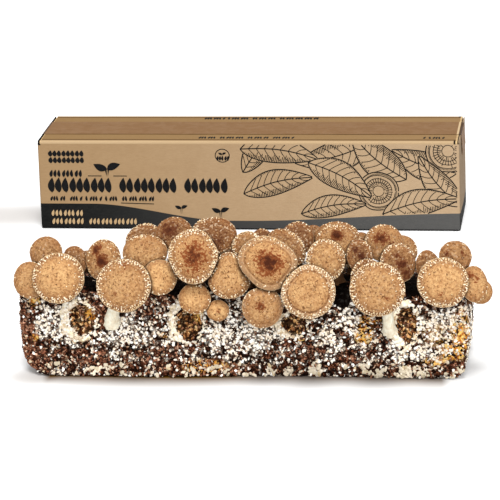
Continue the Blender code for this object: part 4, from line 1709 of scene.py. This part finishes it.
def filled_shapes(name, outlines, material, on_top=False):
    """Solid printed shapes: filled outlines with a little thickness, on the front or on top."""
    lines = [[(x, z, 0) for x, z in outline] for outline in outlines]
    made = inked(name, lines, dimensions="2D", fill_mode="BOTH", extrude=0.15 * MM)
    if on_top:
        made.data.transform(Matrix.Translation((0, 0, (CARTON_HEIGHT + 0.2) * MM)))
    else:
        made.data.transform(Matrix.Rotation(pi / 2, 4, "X"))
        made.data.transform(Matrix.Translation((0, ART_PLANE * MM, 0)))
    bpy.ops.object.mode_set(mode="EDIT")
    bpy.ops.mesh.select_all(action="SELECT")
    bpy.ops.mesh.remove_doubles(threshold=0.00001)
    end_editing()
    finish_piece(made, "kraft_board", (material,), "carton", smooth=0)


def leaf_outline(x, z, length, wide, angle):
    leaf = Leaf(x, z, length, wide, angle)
    steps = [step / 10 for step in range(11)]
    upper = [leaf_place(leaf, part, 1) for part in steps]
    return upper + [leaf_place(leaf, part, -1) for part in reversed(steps[1:-1])]


def leaf_row(x, z, pitch, count, length, wide, angle=84, gaps=(), lean=6):
    """A row of small solid leaves, about as heavy as a line of print."""
    return [
        leaf_outline(x + pitch * place, z, length, wide, angle + lean * (place % 3 - 1))
        for place in range(count)
        if place not in gaps
    ]


def sprout(x, z, tall, spread):
    """A pair of solid leaves on a short stalk."""
    stalk = [(x - 0.7, z), (x + 0.7, z), (x + 0.5, z + tall), (x - 0.5, z + tall)]
    pair = [leaf_outline(x, z + tall, spread, spread * 0.5, angle) for angle in (22, 158)]
    return [stalk] + pair


def printed_work():
    dark = plain("dark_ink", 0.05, 1.8, (14, 14, 16), (30, 30, 30), 0.45, 0.65)
    pale = plain("bare_board", 0.05, 1.8, (212, 180, 136), (196, 162, 118), 0.45, 0.65)
    runs = {BOLD: [], FINE: []}
    for order, shape in enumerate(DRAWING):
        strokes = leaf_strokes(shape) if isinstance(shape, Leaf) else log_strokes(shape)
        for weight, stroke in strokes:
            runs[weight].extend(visible_runs(stroke, DRAWING[order + 1 :]))
    drawn_lines("printed_outlines", runs[BOLD], BOLD, dark)
    drawn_lines("printed_shading", runs[FINE], FINE, dark)
    rows = leaf_row(-285, 88.4, 5.3, 8, 7.6, 5.1, 88, (), 2)
    rows += leaf_row(-285, 80.4, 5.3, 8, 7.6, 5.1, 88, (), 2)
    rows += leaf_row(-286, 63.5, 5.0, 8, 9, 3.9)
    rows += leaf_row(-286, 44.5, 8.5, 25, 18.5, 8.0, 88, (9, 18), 2)
    rows += leaf_row(-288, 34.2, 3.9, 32, 6.6, 2.7, 80, (5, 10, 16, 21), 14)
    rows += sprout(-219, 65, 8, 17) + sprout(-134, 20, 6, 8) + sprout(-88, 14, 8, 11)
    filled_shapes("printed_leaves", rows, dark)
    ring = [2 * pi * step / 40 for step in range(41)]
    rules = [
        [(-242, 65), (-226, 65)],
        [(-212, 65), (-196, 65)],
        [(-205, 32), (-166, 31)],
        [(-83 + 8.2 * cos(turn), 90 + 7.8 * sin(turn)) for turn in ring],
    ]
    drawn_lines("printed_rules", rules, RULE, dark)
    filled_shapes("printed_seal", leaf_row(-89, 84, 3.1, 5, 6, 2.7) + sprout(-83, 89, 2.6, 5), dark)
    rows = leaf_row(-287, 15.5, 4.9, 8, 8, 3.3) + leaf_row(-287, 5.5, 4.9, 21, 8, 3.3, 80, (8,))
    filled_shapes("printed_band_leaves", rows, pale)
    rows = leaf_row(-111, 404, 3.6, 31, 7.5, 2.5, 86, (6, 15, 23), 9)
    rows += leaf_row(148, 404, 3.6, 7, 7.5, 2.5, 86, (1,), 9)
    rows += leaf_row(-116, 480, 3.6, 38, 8.5, 2.6, 86, (7, 15, 24), 9)
    filled_shapes("printed_top_leaves", rows, dark, on_top=True)


# ---------------------------------------------------------------- camera, light and floor


def camera():
    back, right, up = facing(CAMERA_AZIMUTH, CAMERA_ELEVATION)
    roll = radians(CAMERA_ROLL)
    level = right * cos(roll) + up * sin(roll)
    upright = up * cos(roll) - right * sin(roll)
    data = bpy.data.cameras.new("camera")
    data.lens = CAMERA_LENS
    data.sensor_width = SENSOR
    made = linked("camera", data)
    made.matrix_world = set_matrix((level, upright, back), CAMERA_TARGET + back * CAMERA_DISTANCE)
    bpy.context.scene.camera = made


def soft_sun(sun):
    """An even soft light from one side."""
    data = bpy.data.lights.new(sun.name, "SUN")
    data.energy = sun.level * pi
    data.angle = radians(sun.spread)
    towards, _, _ = facing(sun.azimuth, sun.elevation)
    linked(sun.name, data).matrix_world = towards.to_track_quat("Z", "Y").to_matrix().to_4x4()


def white_room():
    """Even light all round, plain white where the camera sees it."""
    world = bpy.data.worlds.new("white_room")
    world.use_nodes = True
    tree = world.node_tree
    seen = Value(add(tree, "ShaderNodeLightPath", {}).outputs["Is Camera Ray"])
    strength = add(tree, "ShaderNodeMapRange", {"Value": seen, "To Min": ROOM_LIGHT, "To Max": 1.0})
    background = tree.nodes["Background"].inputs
    background["Color"].default_value = (1, 1, 1, 1)
    put(background["Strength"], Value(strength.outputs[0]))
    bpy.context.scene.world = world


def floor_sheet():
    """White paper, shaded close to the block's foot and softly to the left of both things."""
    sheet = Surface("floor_sheet", 0.0)
    place = {"x": sheet.axis("X"), "y": sheet.axis("Y")}

    def beyond(axis, middle, half=0.0):
        return maths("MAXIMUM", abs(place[axis] - middle * MM) - half * MM, 0.0)

    def square(first, second):
        return first * first + second * second

    foot_x, foot_y, half_wide, half_deep = FOOT
    near = square(beyond("x", foot_x, half_wide) * 3.0, beyond("y", foot_y, half_deep))
    near = 1.0 - maths("SQRT", near) / (FOOT_REACH * MM)
    shade = maths("POWER", maths("MAXIMUM", near, 0.0), 1.5) * FOOT_SHADE
    for smear in SMEARS:
        across = beyond("x", smear.x) / (smear.half_wide * MM)
        away = square(across, beyond("y", smear.y) / (smear.half_deep * MM))
        full = away.rise(1.0, 0.0)
        shade = shade + full * full * smear.amount
    white = (FLOOR_SHADE, FLOOR_SHADE, FLOOR_SHADE, 1)
    return sheet.dress(mixed(shade, white, SHADE_TINT), 0.9)


def studio():
    deselect()
    bpy.ops.mesh.primitive_plane_add(size=FLOOR_SIZE, location=(0, 0, -CLEARANCE * MM))
    floor = bpy.context.active_object
    floor.name = "floor"
    floor.data.materials.append(floor_sheet())
    white_room()
    for sun in SUNS:
        soft_sun(sun)
    bpy.context.scene.view_settings.view_transform = "Standard"


def main():
    camera()
    studio()
    crop()
    skin, marks = substrate(block_skin())
    grains(skin, marks, chip_wood(), mycelium())
    flap = flap_board()
    carton_walls(wall_board(), plain("gap_shade", 0.02, 3, (16, 10, 6), (40, 26, 16), 0.9, 1.0))
    cut = cut_board()
    carton_flap("carton_flap_front", -1, flap, cut)
    carton_flap("carton_flap_back", 1, flap, cut)
    tape(tape_film())
    printed_work()


main()
